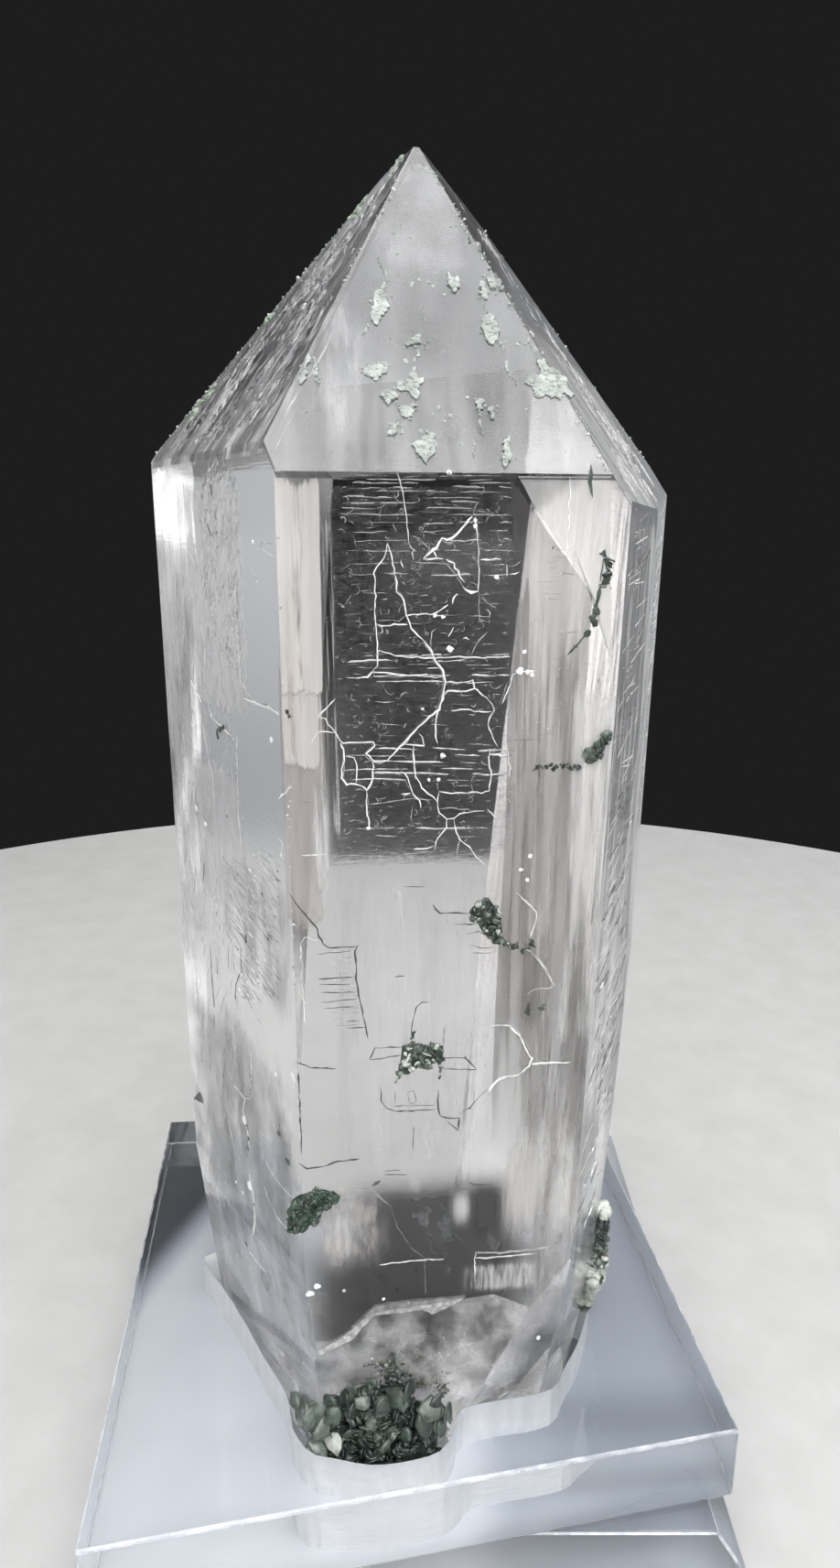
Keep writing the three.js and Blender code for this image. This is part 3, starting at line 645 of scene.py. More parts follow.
def bevelled(bm, width, segments=2, shortest=5.0, sharpest=8.0, keep=None):
    edges = []
    for e in bm.edges:
        if len(e.link_faces) != 2 or e.calc_length() < shortest:
            continue
        if math.degrees(e.calc_face_angle(0.0)) < sharpest:
            continue
        if keep is not None and not keep(e):
            continue
        edges.append(e)
    bmesh.ops.bevel(bm, geom=edges, offset=width, offset_type="OFFSET", segments=segments, profile=0.5,
                    affect="EDGES", clamp_overlap=True)
    return bm


def arrays(bm):
    bm.verts.index_update()
    out = np.array([v.co[:] for v in bm.verts]), [tuple(v.index for v in f.verts) for f in bm.faces]
    bm.free()
    return out


def three_points(a, b, c, inside):
    n = np.cross(np.subtract(b, a), np.subtract(c, a))
    n = n / np.linalg.norm(n)
    if n @ np.subtract(inside, a) > 0:
        n = -n
    return n, a


quartz = bpy.data.objects.new("quartz_body", bpy.data.meshes.new("quartz_body"))
scene.collection.objects.link(quartz)
shape = bevelled(half_spaces([(FACE[k].n, FACE[k].co) for k in FACES]), 0.2)
shape.to_mesh(quartz.data)
shape.free()

FRONT, LEFT, RIGHT, POINT = FACE["m_front"], FACE["m_left"], FACE["m_right"], FACE["r_front"]
ZLEFT, ZRIGHT = FACE["z_left"], FACE["z_right"]

# the seam pinched into the left edge
back = FACE["m_back_left"]
edge = np.linalg.solve(np.array([LEFT.n, back.n, [0, 0, 1.0]]), np.array([LEFT.d, back.d, 61.0]))
out = np.array([math.sin(math.radians(-84)), -math.cos(math.radians(-84)), 0.0])
along = np.array([-out[1], out[0], 0.0])
profile = [(3.2, 5.6), (0.0, 2.75), (-0.8, 1.9), (-1.5, 1.15), (-2.0, 0.5), (-2.25, -0.1), (-2.0, -0.6), (-1.4, -1.05), (-0.6, -1.45), (0.0, -1.85), (3.2, -4.0)]
ring = [edge + out * o + np.array([0, 0, z]) for o, z in profile]
k = len(ring)
v = np.array([p + along * s for s in (-14.0, 14.0) for p in ring])
carve(quartz, [(v, [tuple(range(k)), tuple(range(2 * k - 1, k - 1, -1))] + [(i, k + i, k + (i + 1) % k, (i + 1) % k) for i in range(k)])], "DIFFERENCE")

# the flake broken off above the foot
def on_front(x, z, depth=0.0):
    y = (FRONT.d - FRONT.n[0] * x - FRONT.n[2] * z) / FRONT.n[1]
    return np.array([x, y, z]) - FRONT.n * depth


gone = np.array([0.0, -38.0, 20.0])
a, b, c = on_front(-9.65, 37.4), on_front(-2.65, 43.8), on_front(10.65, 45.1)
slope = np.array([0.0, 1.0, -1.0])
flake = half_spaces([three_points(a, b, a + slope, gone), three_points(b, c, b + slope, gone),
                     three_points(on_front(-9.65, 37.0, 1.1), on_front(12.5, 45.5, 0.05), on_front(-2.0, 15.0, 2.0), np.array([0.0, -60.0, 20.0])),
                     (np.array([0.0, -1.0, 0.0]), np.array([0.0, -45.0, 0.0])), (np.array([0.0, 0.0, -1.0]), np.array([0.0, 0.0, 5.0])),
                     (np.array([-1.0, 0.0, 0.0]), np.array([-30.0, 0.0, 0.0])), (np.array([1.0, 0.0, 0.0]), np.array([40.0, 0.0, 0.0]))])
carve(quartz, [arrays(flake)], "DIFFERENCE")


def spread(face, count, box, seed, sizes, tall=(0.06, 0.12), aspect=(1.0, 3.0), sides=(4, 7), turn=0.0, grow=True):
    """Low plates or shallow pits on a face: (box) u0, v0, u1, v1 on the face in mm."""
    r = np.random.default_rng(seed)
    items = []
    for _ in range(count):
        c = np.array([r.uniform(box[0], box[2]), r.uniform(box[1], box[3])])
        n = int(r.integers(sides[0], sides[1] + 1))
        s = r.uniform(*sizes) if r.random() < 0.8 else r.uniform(sizes[1], sizes[1] * 1.5)
        asp = r.uniform(*aspect)
        ang = np.sort(r.uniform(0, 2 * math.pi, n) * 0.35 + np.arange(n) * 2 * math.pi / n * 0.65 + np.arange(n) * 2 * math.pi / n * 0.35)
        ang = np.arange(n) * 2 * math.pi / n + r.uniform(-0.25, 0.25, n)
        rad = s * r.uniform(0.7, 1.1, n)
        p = np.stack([np.cos(ang) * rad * asp, np.sin(ang) * rad], 1)
        t = math.radians(turn) + r.normal(0, 0.06)
        p = p @ np.array([[math.cos(t), math.sin(t)], [-math.sin(t), math.cos(t)]]) + c
        h = r.uniform(*tall)
        items.append(prism(face, p, -0.25, h, 0.6) if grow else prism(face, p, 0.06, -h, 0.8))
    return items


def inside(p, q):
    """Whether the points q lie in the outline p."""
    hit = np.zeros(len(q), dtype=bool)
    for a_, b_ in zip(p, np.roll(p, -1, 0)):
        cond = (a_[1] > q[:, 1]) != (b_[1] > q[:, 1])
        with np.errstate(divide="ignore", invalid="ignore"):
            x = (b_[0] - a_[0]) * (q[:, 1] - a_[1]) / (b_[1] - a_[1]) + a_[0]
        hit ^= cond & (q[:, 0] < x)
    return hit


def uv_of(face, pts):
    return FACE[face].uv(on(face, pts))


FW0, FW1 = uv_of("m_front", [(372, 930), (556, 528)])          # the upper window on the front face

# growth steps: low plates with long level edges
def steps(face, rows, x0, x1, seed, length=(2.0, 9.0), thick=(0.12, 0.45), tall=(0.05, 0.11)):
    r = np.random.default_rng(seed)
    items = []
    for py in rows:
        x = x0 + r.uniform(0, 40)
        while x < x1:
            ln = r.uniform(*length)
            (u0, v0), (u1, v1) = uv_of(face, [(x, py + r.uniform(-2, 2)), (min(x + ln * 9.5, x1), py)])
            line = FACE[face].at(np.array([(u0, v0), ((u0 + u1) / 2, (v0 + v1) / 2 + r.normal(0, 0.05)), (u1, v1)]))
            body = line_body(FACE[face], line, r.uniform(*thick), -0.05, r.uniform(*tall), r, 0.8, 0.03, 0.4)
            if body is not None:
                items.append(body)
            x += ln * 9.5 + r.uniform(6, 60)
    return items


def on_body(key, p, margin):
    return all(FACE[k].n @ p <= FACE[k].d - margin for k in FACES if k != key)


def bars(key, count, px_way, seed, length, width, tall, where=None, spread_deg=5.0, grow=True, margin=0.35):
    """Narrow ridges (or grooves) on a face, all more or less one way; px_way is two points of the frame."""
    f = FACE[key]
    w0, w1 = uv_of(key, px_way)
    base = math.atan2(w1[1] - w0[1], w1[0] - w0[0])
    r = np.random.default_rng(seed)
    if where is not None:
        region = uv_of(key, where)
    else:
        region = np.array([(-45.0, -10.0), (45.0, -10.0), (45.0, 175.0), (-45.0, 175.0)])
    lo, hi = region.min(0), region.max(0)
    items, tries = [], 0
    while len(items) < count and tries < count * 250:
        tries += 1
        c = r.uniform(lo, hi)
        if where is not None and not inside(region, c[None])[0]:
            continue
        a_ = base + math.radians(r.normal(0, spread_deg))
        ln, w = r.uniform(*length), r.uniform(*width)
        d_, s_ = np.array([math.cos(a_), math.sin(a_)]), np.array([-math.sin(a_), math.cos(a_)])
        e0, e1 = c - d_ * ln / 2, c + d_ * ln / 2
        if not (on_body(key, f.at(e0), margin) and on_body(key, f.at(e1), margin)):
            continue
        h = r.uniform(*tall)
        line = f.at(np.array([e0, c + s_ * r.normal(0, 0.06 * w), e1]))
        body = line_body(f, line, w, -0.05 if grow else 0.06, h if grow else -h, r, 0.9, 0.04 * w, 0.3)
        items.append(body)
    return items


raised = steps("m_front", [517, 520, 524, 528, 533, 538, 544, 549, 556, 563, 571, 580, 590, 602, 616, 628, 715, 722, 730, 738, 745, 819, 826, 833, 840, 846, 852, 905], 372, 560, 5)
raised += steps("m_front", list(np.linspace(560, 925, 34)), 372, 556, 6, length=(0.6, 3.2), thick=(0.05, 0.18), tall=(0.015, 0.045))
raised += steps("m_front", list(np.linspace(600, 830, 34)), 576, 650, 7, length=(0.6, 2.8), thick=(0.06, 0.16), tall=(0.03, 0.06))
raised += steps("m_front", list(np.linspace(1040, 1125, 15)), 346, 392, 8, length=(1.5, 4.2), thick=(0.06, 0.2), tall=(0.03, 0.07))
raised += spread(FRONT, 110, (min(FW0[0], FW1[0]) - 1, min(FW0[1], FW1[1]), max(FW0[0], FW1[0]) + 1.5, max(FW0[1], FW1[1])), 21, (0.12, 0.3), (0.05, 0.09), (1.0, 2.6))
carve(quartz, raised, "UNION", 0.12)
WAY_Z = [(228, 490), (294, 397)]
Z_AREA = [(160, 520), (455, 158), (350, 330), (306, 502), (225, 497)]
ZL_BARS = bars("z_left", 80, WAY_Z, 31, (3.0, 14.0), (0.5, 1.9), (0.08, 0.32), where=Z_AREA, spread_deg=5.0) + bars("z_left", 110, WAY_Z, 32, (0.8, 4.0), (0.15, 0.6), (0.05, 0.2), where=Z_AREA, spread_deg=12.0)
carve(quartz, ZL_BARS, "UNION", 0.15)
carve(quartz, bars("z_left", 60, WAY_Z, 33, (2.0, 9.0), (0.3, 1.2), (0.08, 0.3), where=Z_AREA, spread_deg=6.0, grow=False), "DIFFERENCE", 0.15)
WAY_R = [(667, 864), (695, 820)]
carve(quartz, bars("m_right", 90, WAY_R, 34, (1.5, 8.0), (0.12, 0.4), (0.04, 0.12), spread_deg=8.0), "UNION", 0.12)
carve(quartz, bars("m_left", 150, [(300, 960), (330, 996)], 35, (0.8, 3.6), (0.1, 0.26), (0.04, 0.1), where=[(241, 936), (300, 925), (306, 1094), (262, 1094)], spread_deg=9.0), "UNION", 0.12)
carve(quartz, bars("m_left", 170, [(230, 560), (236, 520)], 36, (0.5, 3.0), (0.15, 0.5), (0.05, 0.16), where=[(221, 497), (257, 505), (262, 640), (263, 746), (236, 700), (218, 640)], spread_deg=22.0), "UNION", 0.12)
carve(quartz, bars("m_left", 120, [(230, 960), (233, 900)], 37, (0.8, 5.0), (0.1, 0.35), (0.04, 0.1), where=[(192, 620), (230, 640), (256, 1000), (262, 1160), (222, 1180), (200, 900)], spread_deg=9.0), "UNION", 0.12)
carve(quartz, bars("z_right", 70, [(560, 330), (660, 500)], 38, (1.0, 6.0), (0.15, 0.5), (0.05, 0.14), where=[(462, 158), (728, 548), (692, 548), (640, 440)], spread_deg=12.0), "UNION", 0.12)
print("quartz: bars", len(quartz.data.polygons), flush=True)
pits = spread(FRONT, 150, (min(FW0[0], FW1[0]) - 1, min(FW0[1], FW1[1]), max(FW0[0], FW1[0]) + 1.5, max(FW0[1], FW1[1])), 22, (0.1, 0.22), (0.04, 0.08), (1.0, 1.8), grow=False)
carve(quartz, pits, "DIFFERENCE", 0.12)
print("quartz: plates and pits", len(quartz.data.polygons), flush=True)

# the healed cracks are narrow grooves with a white filling
grooves = []
for pts, w, _ in CRACKS_FRONT:
    grooves.append(line_body(FRONT, on("m_front", pts), max(w * 0.6, 0.13), 0.06, -max(0.42 * w, 0.1), rng, 0.8, 0.045))
for pts, w, _ in CRACKS_LEFT:
    grooves.append(line_body(LEFT, on("m_left", pts), max(w * 0.9, 0.2), 0.06, -max(0.5 * w, 0.13), rng, 0.8, 0.05))
carve(quartz, [g for g in grooves if g is not None], "DIFFERENCE", 0.1)
print("quartz: grooves", len(quartz.data.polygons), flush=True)
# materials of the quartz
def quartz_shade(name, rough=0.0):
    s = Shade(name, IOR=1.55, Transmission_Weight=1.0, Roughness=rough)
    s.p.inputs["Base Color"].default_value = (0.985, 0.985, 0.99, 1.0)
    return s


def clear_quartz(name, plane, fine=0.02, seed=0.0):
    s = quartz_shade(name)
    level_lines = s.noise(s.frame(plane, 0.12, 2.4, 1.0), 1.0, 4.0, 0.6)
    wave = s.noise(s.frame(plane, 0.35, 0.06, 1.0), 1.0, 2.0, 0.5)
    s.set(Normal=s.bump(s.math("ADD", s.math("MULTIPLY", level_lines, 0.5), wave), fine, 1.0))
    return s.mat


Q_MATS = [clear_quartz("quartz_clear", FRONT, 0.01), clear_quartz("quartz_front", FRONT, 0.012), clear_quartz("quartz_left", LEFT, 0.03),
          clear_quartz("quartz_right", RIGHT, 0.03)]

s = quartz_shade("quartz_point")
cloud = s.noise(s.frame(POINT, 0.10, 0.035, 1.0), 1.0, 4.0, 0.55)
bands = s.noise(s.frame(POINT, 0.42, 0.03, 1.0), 1.0, 3.0, 0.6)
u = s.dot(POINT.u, float(POINT.co @ POINT.u))
vv = s.dot(POINT.v, float(POINT.co @ POINT.v))
lower = s.ramp(vv, 124.0, 104.0)
milk = s.math("ADD", s.ramp(cloud, 0.3, 0.7, 0.03, 0.13), s.math("MULTIPLY", lower, s.ramp(bands, 0.4, 0.62, 0.0, 0.06)), clamp=True)
s.set(Transmission_Weight=s.math("SUBTRACT", 1.0, milk), Base_Color=s.colour(bands, [(0.3, (0.80, 0.81, 0.83)), (0.7, (0.95, 0.95, 0.96))]),
      Normal=s.bump(s.noise(s.frame(POINT, 0.8, 0.25, 1.0), 1.0, 4.0), 0.02, 1.0))
Q_MATS.append(s.mat)                                             # 4
Q_MATS.append(clear_quartz("quartz_point_left", ZLEFT, 0.05))    # 5
Q_MATS.append(clear_quartz("quartz_point_right", ZRIGHT, 0.05))  # 6
Q_MATS.append(clear_quartz("quartz_back", back, 0.02))           # 7

s = quartz_shade("quartz_broken", 0.12)
cloud = s.noise(s.scaled(0.25, 0.25, 0.18), 1.0, 4.0, 0.6)
s.set(Transmission_Weight=s.ramp(cloud, 0.35, 0.65, 0.985, 0.72), Normal=s.bump(s.noise(s.scaled(0.5, 0.5, 0.35), 1.0, 4.0), 0.12, 1.0))
Q_MATS.append(s.mat)                                             # 8

s = quartz_shade("quartz_foot", 0.0)
cloud = s.noise(s.scaled(0.11, 0.11, 0.05), 1.0, 4.0, 0.6)
up = s.dot((0, 0, 1.0))
s.set(Transmission_Weight=s.math("SUBTRACT", 1.0, s.math("MULTIPLY", s.ramp(up, 62.0, 30.0), s.ramp(cloud, 0.35, 0.7, 0.0, 0.35)), clamp=True),
      Normal=s.bump(s.noise(s.scaled(0.3, 0.3, 0.1), 1.0, 3.0), 0.1, 1.0))
Q_MATS.append(s.mat)                                             # 9

OF_FACE = {"m_front": 1, "m_left": 2, "m_right": 3, "m_right_narrow": 3, "r_front": 4, "z_left": 5, "z_right": 6, "m_back_left": 7, "m_back_right": 7, "m_back": 7,
           "r_back_left": 7, "r_back_right": 7, "z_back": 7, "tip": 7, "foot_left": 9, "foot_back_left": 9, "foot_back": 9, "foot_right": 9, "foot_front": 9,
           "foot_front_right": 9, "foot_corner": 9, "foot": 9}
me = quartz.data
n_ = len(me.polygons)
cen, nor = np.zeros(n_ * 3), np.zeros(n_ * 3)
me.polygons.foreach_get("center", cen)
me.polygons.foreach_get("normal", nor)
cen, nor = cen.reshape(-1, 3), nor.reshape(-1, 3)
index = np.zeros(n_, dtype=np.int32)
for key, m in OF_FACE.items():
    f = FACE[key]
    index[(nor @ f.n > 0.9995) & (np.abs(cen @ f.n - f.d) < 0.35)] = m
f_n = three_points(on_front(-9.65, 37.0, 1.1), on_front(12.5, 45.5, 0.05), on_front(-2.0, 15.0, 2.0), np.array([0.0, 60.0, 20.0]))[0]
index[(index == 0) & (cen[:, 2] < 47.0)] = 8
me.polygons.foreach_set("material_index", index)
me.transform(Matrix.Scale(MM, 4))
me.update()
finish_piece(quartz, Q_MATS, ["quartz_crystal"])
me.polygons.foreach_set("material_index", index)
print("quartz faces", n_, "by material", np.bincount(index, minlength=10))

# ------------------------------------------------------------------ the acrylic
def acrylic_shade(name, rough=0.0, tint=(0.965, 0.98, 0.995)):
    s = Shade(name, IOR=1.49, Transmission_Weight=1.0, Roughness=rough)
    s.p.inputs["Base Color"].default_value = (*tint, 1.0)
    return s


s = acrylic_shade("acrylic_clear")
s.set(Normal=s.bump(s.noise(s.scaled(0.05, 0.05, 0.05), 1.0, 2.0), 0.05, 0.6))
ACRYLIC = s.mat
s = acrylic_shade("acrylic_frost_and_painted_shade", 0.0)
# painted shade: the base colour runs from pale to dark grey by position, dark at the far left end, darker towards the
# right away from the front edge and at the front right corner; the added noise is the frost's own grain
soft = s.noise(s.scaled(0.025, 0.03, 0.025), 1.0, 3.0)
lean_ = s.math("SUBTRACT", s.math("MULTIPLY", s.dot((1.0, 0, 0)), 0.8), s.math("MULTIPLY", s.dot((0, 1.0, 0)), 0.3))
near = s.math("MULTIPLY", s.ramp(s.dot((0, 1.0, 0)), -20.0, -31.0), s.ramp(s.dot((1.0, 0, 0)), 8.0, 18.0))
shade_ = s.math("ADD", s.ramp(lean_, -38.0, -31.0, 1.0, 0.0), s.math("ADD", s.math("MULTIPLY", s.ramp(lean_, -14.0, 34.0, 0.0, 0.46), s.ramp(s.dot((0, 1.0, 0)), -37.0, -20.0)), s.math("MULTIPLY", near, 0.5)), clamp=True)
s.set(Transmission_Weight=s.ramp(soft, 0.3, 0.7, 0.22, 0.08), Base_Color=s.colour(s.math("ADD", shade_, s.math("MULTIPLY", s.math("SUBTRACT", soft, 0.5), 0.2)), [(0.0, (0.90, 0.93, 0.98)), (0.55, (0.46, 0.50, 0.56)), (1.0, (0.10, 0.105, 0.115))]),
      Normal=s.bump(s.noise(s.scaled(0.7, 0.7, 0.7), 1.0, 3.0), 0.02, 1.0))
FROST_AND_PAINTED_SHADE = s.mat
s = acrylic_shade("acrylic_sawn", 0.3)
s.set(Transmission_Weight=s.ramp(s.noise(s.scaled(0.5, 0.5, 0.1), 1.0, 3.0), 0.3, 0.7, 0.15, 0.03), Base_Color=s.colour(s.noise(s.scaled(0.1, 0.1, 0.3)), [(0.3, (0.90, 0.92, 0.95)), (0.7, (0.98, 0.985, 1.0))]),
      Normal=s.bump(s.noise(s.scaled(0.25, 0.25, 1.6), 1.0, 4.0), 0.12, 1.0))
SAWN = s.mat
s = acrylic_shade("acrylic_edge", 0.1)
s.set(Transmission_Weight=s.ramp(s.noise(s.scaled(0.3, 0.3, 1.4), 1.0, 3.0), 0.35, 0.65, 0.8, 0.5), Base_Color=s.colour(s.noise(s.scaled(0.2, 0.2, 0.2)), [(0.3, (0.66, 0.68, 0.73)), (0.7, (0.84, 0.86, 0.90))]))
RIM = s.mat


def sharp(bm, width, test):
    edges = [e for e in bm.edges if len(e.link_faces) == 2 and math.degrees(e.calc_face_angle(0.0)) > 25 and test(e)]
    bmesh.ops.bevel(bm, geom=edges, offset=width, offset_type="OFFSET", segments=2, profile=0.5, affect="EDGES", clamp_overlap=True)


def copy_of(node):
    """The CAD node's own mesh, in millimetres, flat faces joined."""
    src = bpy.data.objects[node]
    bm = bmesh.new()
    bm.from_mesh(src.data)
    bm.transform(src.matrix_world)
    bmesh.ops.scale(bm, vec=(1 / MM,) * 3, verts=bm.verts)
    bmesh.ops.remove_doubles(bm, verts=bm.verts, dist=1e-3)
    bmesh.ops.dissolve_limit(bm, angle_limit=math.radians(0.4), verts=bm.verts, edges=bm.edges)
    bmesh.ops.recalc_face_normals(bm, faces=bm.faces)
    return bm


def made(bm, name):
    me = bpy.data.meshes.new(name)
    bmesh.ops.scale(bm, vec=(MM,) * 3, verts=bm.verts)
    bm.to_mesh(me)
    bm.free()
    o = bpy.data.objects.new(name, me)
    scene.collection.objects.link(o)
    return o


bm = copy_of("acrylic_block")
sharp(bm, 0.35, lambda e: True)
block = made(bm, "block_body")
finish_piece(block, [ACRYLIC, RIM, FROST_AND_PAINTED_SHADE], ["acrylic_block"])
for p in block.data.polygons:
    n = p.normal
    if p.area < 80 * MM * MM and 0.05 < abs(n.z) < 0.97:
        p.material_index = 1
    if n.z < -0.9:
        p.material_index = 2

bm = copy_of("acrylic_slab")
corner = [np.array(c) for c in [[-39.25, -53.65], [49.65, -36.75], [40.4, 43.6], [-49.65, 36.25]]]


def outer(e):
    m = (np.array(e.verts[0].co) + np.array(e.verts[1].co)) / 2
    for a_, b_ in zip(corner, corner[1:] + corner[:1]):
        d_ = (b_ - a_) / np.linalg.norm(b_ - a_)
        if abs((m[0] - a_[0]) * d_[1] - (m[1] - a_[1]) * d_[0]) < 0.05:
            return True
    return False


sharp(bm, 0.4, outer)
slab = made(bm, "slab_body")
finish_piece(slab, [ACRYLIC, RIM, FROST_AND_PAINTED_SHADE, SAWN], ["acrylic_slab"])
for p in slab.data.polygons:
    n, c = p.normal, np.array(p.center) / MM
    if p.area < 80 * MM * MM and 0.1 < abs(n.z) < 0.97:
        p.material_index = 1
    if abs(n.z) < 0.3:
        if all(np.cross((b_ - a_) / np.linalg.norm(b_ - a_), c[:2] - a_) > 1.0 for a_, b_ in zip(corner, corner[1:] + corner[:1])):
            p.material_index = 3
    if n.z < -0.9:
        p.material_index = 2
print("slab", len(slab.data.polygons), [sum(1 for p in slab.data.polygons if p.material_index == i) for i in range(4)])
# ------------------------------------------------------------------ fillings of the cracks
def ragged(outline, r, amount=0.12, rounds=2):
    p = np.asarray(outline, dtype=float)
    for _ in range(rounds):
        q = []
        for a_, b_ in zip(p, np.roll(p, -1, 0)):
            d_ = b_ - a_
            ln = np.linalg.norm(d_)
            q.append(a_)
            if ln > 0.25:
                q.append((a_ + b_) / 2 + np.array([-d_[1], d_[0]]) / ln * r.normal(0, amount) * min(ln, 1.2))
        p = np.array(q)
    return p


def ribbon(soup, face, pts, width, up, down, seed, mat, step=0.8, wobble=0.045, lift=0.0):
    b = line_body(face, pts, width, up, down, np.random.default_rng(seed), step, wobble, lift=lift)
    if b is not None:
        soup.add(*b, mat)


def white_shade(name, base, trans, rough=0.3, ior=1.5):
    s = Shade(name, IOR=ior, Roughness=rough)
    m = s.noise(s.scaled(0.9, 0.9, 0.9), 1.0, 4.0, 0.6)
    hi = tuple(min(1.0, c * 1.08) for c in base)
    s.set(Base_Color=s.colour(m, [(0.3, tuple(c * 0.82 for c in base)), (0.7, hi)]), Transmission_Weight=s.ramp(m, 0.35, 0.65, trans, trans * 0.5),
          Normal=s.bump(s.noise(s.scaled(3.0, 3.0, 3.0), 1.0, 2.0), 0.05, 0.6))
    return s.mat


SUTURE = [white_shade("suture_bright", (0.93, 0.93, 0.92), 0.12), white_shade("suture_dim", (0.62, 0.62, 0.62), 0.6, 0.2)]
fill = Soup()
for i, (face, lines) in enumerate((("m_front", CRACKS_FRONT), ("m_left", CRACKS_LEFT))):
    for j, (pts, w, b) in enumerate(lines):
        p3 = on(face, pts)
        r = np.random.default_rng(4000 + 500 * i + j)
        ribbon(fill, FACE[face], p3, w * (0.42 if b > 0.66 or max(q_[1] for q_ in pts) > 1300 else 0.32), 0.012, -0.42 * w, 4000 + 500 * i + j, 0 if b > 0.66 else 1, 0.55, 0.06)
        if b > 0.8 and len(pts) > 3:                              # a second, finer thread beside the main one
            off = np.array(p3) + FACE[face].u * r.uniform(-0.28, 0.28) + FACE[face].v * r.uniform(-0.25, 0.25)
            ribbon(fill, FACE[face], off[: max(3, int(len(off) * r.uniform(0.4, 1.0)))], 0.07, 0.012, -0.06, 4900 + 500 * i + j, 1)
SCRATCH = np.random.default_rng(60)
for _ in range(420):                                               # the fine curly relief of the front face
    c = uv_of("m_front", [(SCRATCH.uniform(368, 558), SCRATCH.uniform(532, 930))])[0]
    n_, a_, bend, step_ = int(SCRATCH.integers(2, 6)), SCRATCH.uniform(0, 6.28) if SCRATCH.random() < 0.55 else SCRATCH.normal(0, 0.15), SCRATCH.normal(0, 0.9), SCRATCH.uniform(0.12, 0.35)
    pts_ = [c]
    for _ in range(n_):
        pts_.append(pts_[-1] + step_ * np.array([math.cos(a_), math.sin(a_)]))
        a_ += bend
    ribbon(fill, FRONT, FRONT.at(np.array(pts_)), SCRATCH.uniform(0.03, 0.075), 0.012, -0.04, int(SCRATCH.integers(1 << 30)), 1, 0.3, 0.008)
for key, n_, way, (l0, l1), region in (("m_right", 170, [(667, 864), (695, 820)], (1.0, 8.0), None), ("m_right_narrow", 110, [(704, 760), (716, 720)], (1.0, 6.0), None),
                                       ("m_left", 90, [(300, 960), (330, 996)], (0.6, 3.4), [(241, 936), (300, 925), (308, 1094), (262, 1094)]),
                                       ("m_left", 70, [(231, 560), (236, 520)], (0.5, 2.6), [(221, 497), (257, 505), (262, 640), (263, 746), (236, 700), (218, 640)])):
    f = FACE[key]
    w0, w1 = uv_of(key, way)
    base = math.atan2(w1[1] - w0[1], w1[0] - w0[0])
    reg = uv_of(key, region) if region else np.array([(-20.0, 40.0), (20.0, 40.0), (20.0, 150.0), (-20.0, 150.0)])
    lo, hi = reg.min(0), reg.max(0)
    made_, tries_ = 0, 0
    while made_ < n_ and tries_ < 30000:
        tries_ += 1
        c = SCRATCH.uniform(lo, hi)
        if region and not inside(reg, c[None])[0]:
            continue
        a_ = base + math.radians(SCRATCH.normal(0, 9))
        ln = SCRATCH.uniform(l0, l1)
        d_ = np.array([math.cos(a_), math.sin(a_)])
        if not (on_body(key, f.at(c - d_ * ln / 2), 0.3) and on_body(key, f.at(c + d_ * ln / 2), 0.3)):
            continue
        if f.at(c)[2] < 62.0 and key != "m_left":
            continue
        ribbon(fill, f, f.at(np.array([c - d_ * ln / 2, c, c + d_ * ln / 2])), SCRATCH.uniform(0.05, 0.16), 0.02, -0.05, int(SCRATCH.integers(1 << 30)), int(SCRATCH.random() < 0.5), 0.9, 0.01)
        made_ += 1
for face, sets in DOTS_BRIGHT.items():
    for pts, rad in sets:
        for q in on(face, pts):
            r = np.random.default_rng(int(abs(q[0] * 913 + q[2] * 77)) + 3)
            f = FACE[face]
            fill.add(*pebble(q, (rad, rad, 0.12), r, 0.35, np.array([f.u, f.v, f.n])), 0)
LEDGE = N([(200, 850), (190, 830), (260, 790), (330, 740), (400, 670), (440, 635), (560, 615), (680, 605), (840, 590), (760, 640), (690, 668), (650, 648), (560, 662), (440, 672), (386, 724), (330, 786)])
r = np.random.default_rng(88)
fill.add(*prism(FRONT, ragged(uv_of("m_front", LEDGE), r, 0.06, 2), -0.75, -0.03, 0.0), 1)
for q in on("m_front", [(r.uniform(350, 505), r.uniform(1412, 1480)) for _ in range(500)]):
    if inside(uv_of("m_front", LEDGE), FRONT.uv(q)[None])[0]:
        rad = r.uniform(0.08, 0.4)
        fill.add(*pebble(q - FRONT.n * r.uniform(0.05, 0.5), (rad, rad * 0.8, 0.12), r, 0.35, np.array([FRONT.u, FRONT.v, FRONT.n])), int(r.integers(2)))
sutures = finish_piece(fill.object("sutures"), SUTURE)

s = Shade("chlorite_film", Roughness=0.4)
m = s.noise(s.scaled(0.8, 0.8, 0.8), 1.0, 3.0)
s.set(Base_Color=s.colour(m, [(0.3, (0.015, 0.024, 0.018)), (0.55, (0.05, 0.065, 0.055)), (0.75, (0.14, 0.16, 0.14))]))
FILM = s.mat
dark = Soup()
r = np.random.default_rng(77)
for i, (face, lines) in enumerate((("m_front", LINES_DARK), ("m_left", LINES_DARK_LEFT))):
    for j, (pts, w) in enumerate(lines):
        ribbon(dark, FACE[face], on(face, pts), w, 0.015, -0.1, 7000 + 300 * i + j, 0, 0.7, 0.04)
for face, sets in BLOTCH_DARK.items():
    f = FACE[face]
    for pts, rad in sets:
        for q in on(face, pts):
            for _ in range(4 if rad > 0.3 else 2):
                c = q + f.u * r.normal(0, rad * 0.45) + f.v * r.normal(0, rad * 0.6)
                dark.add(*pebble(c, (rad * r.uniform(0.35, 0.7), rad * r.uniform(0.35, 0.8), 0.1), r, 0.35, np.array([f.u, f.v, f.n])), 0)
films = finish_piece(dark.object("dark_films"), [FILM])

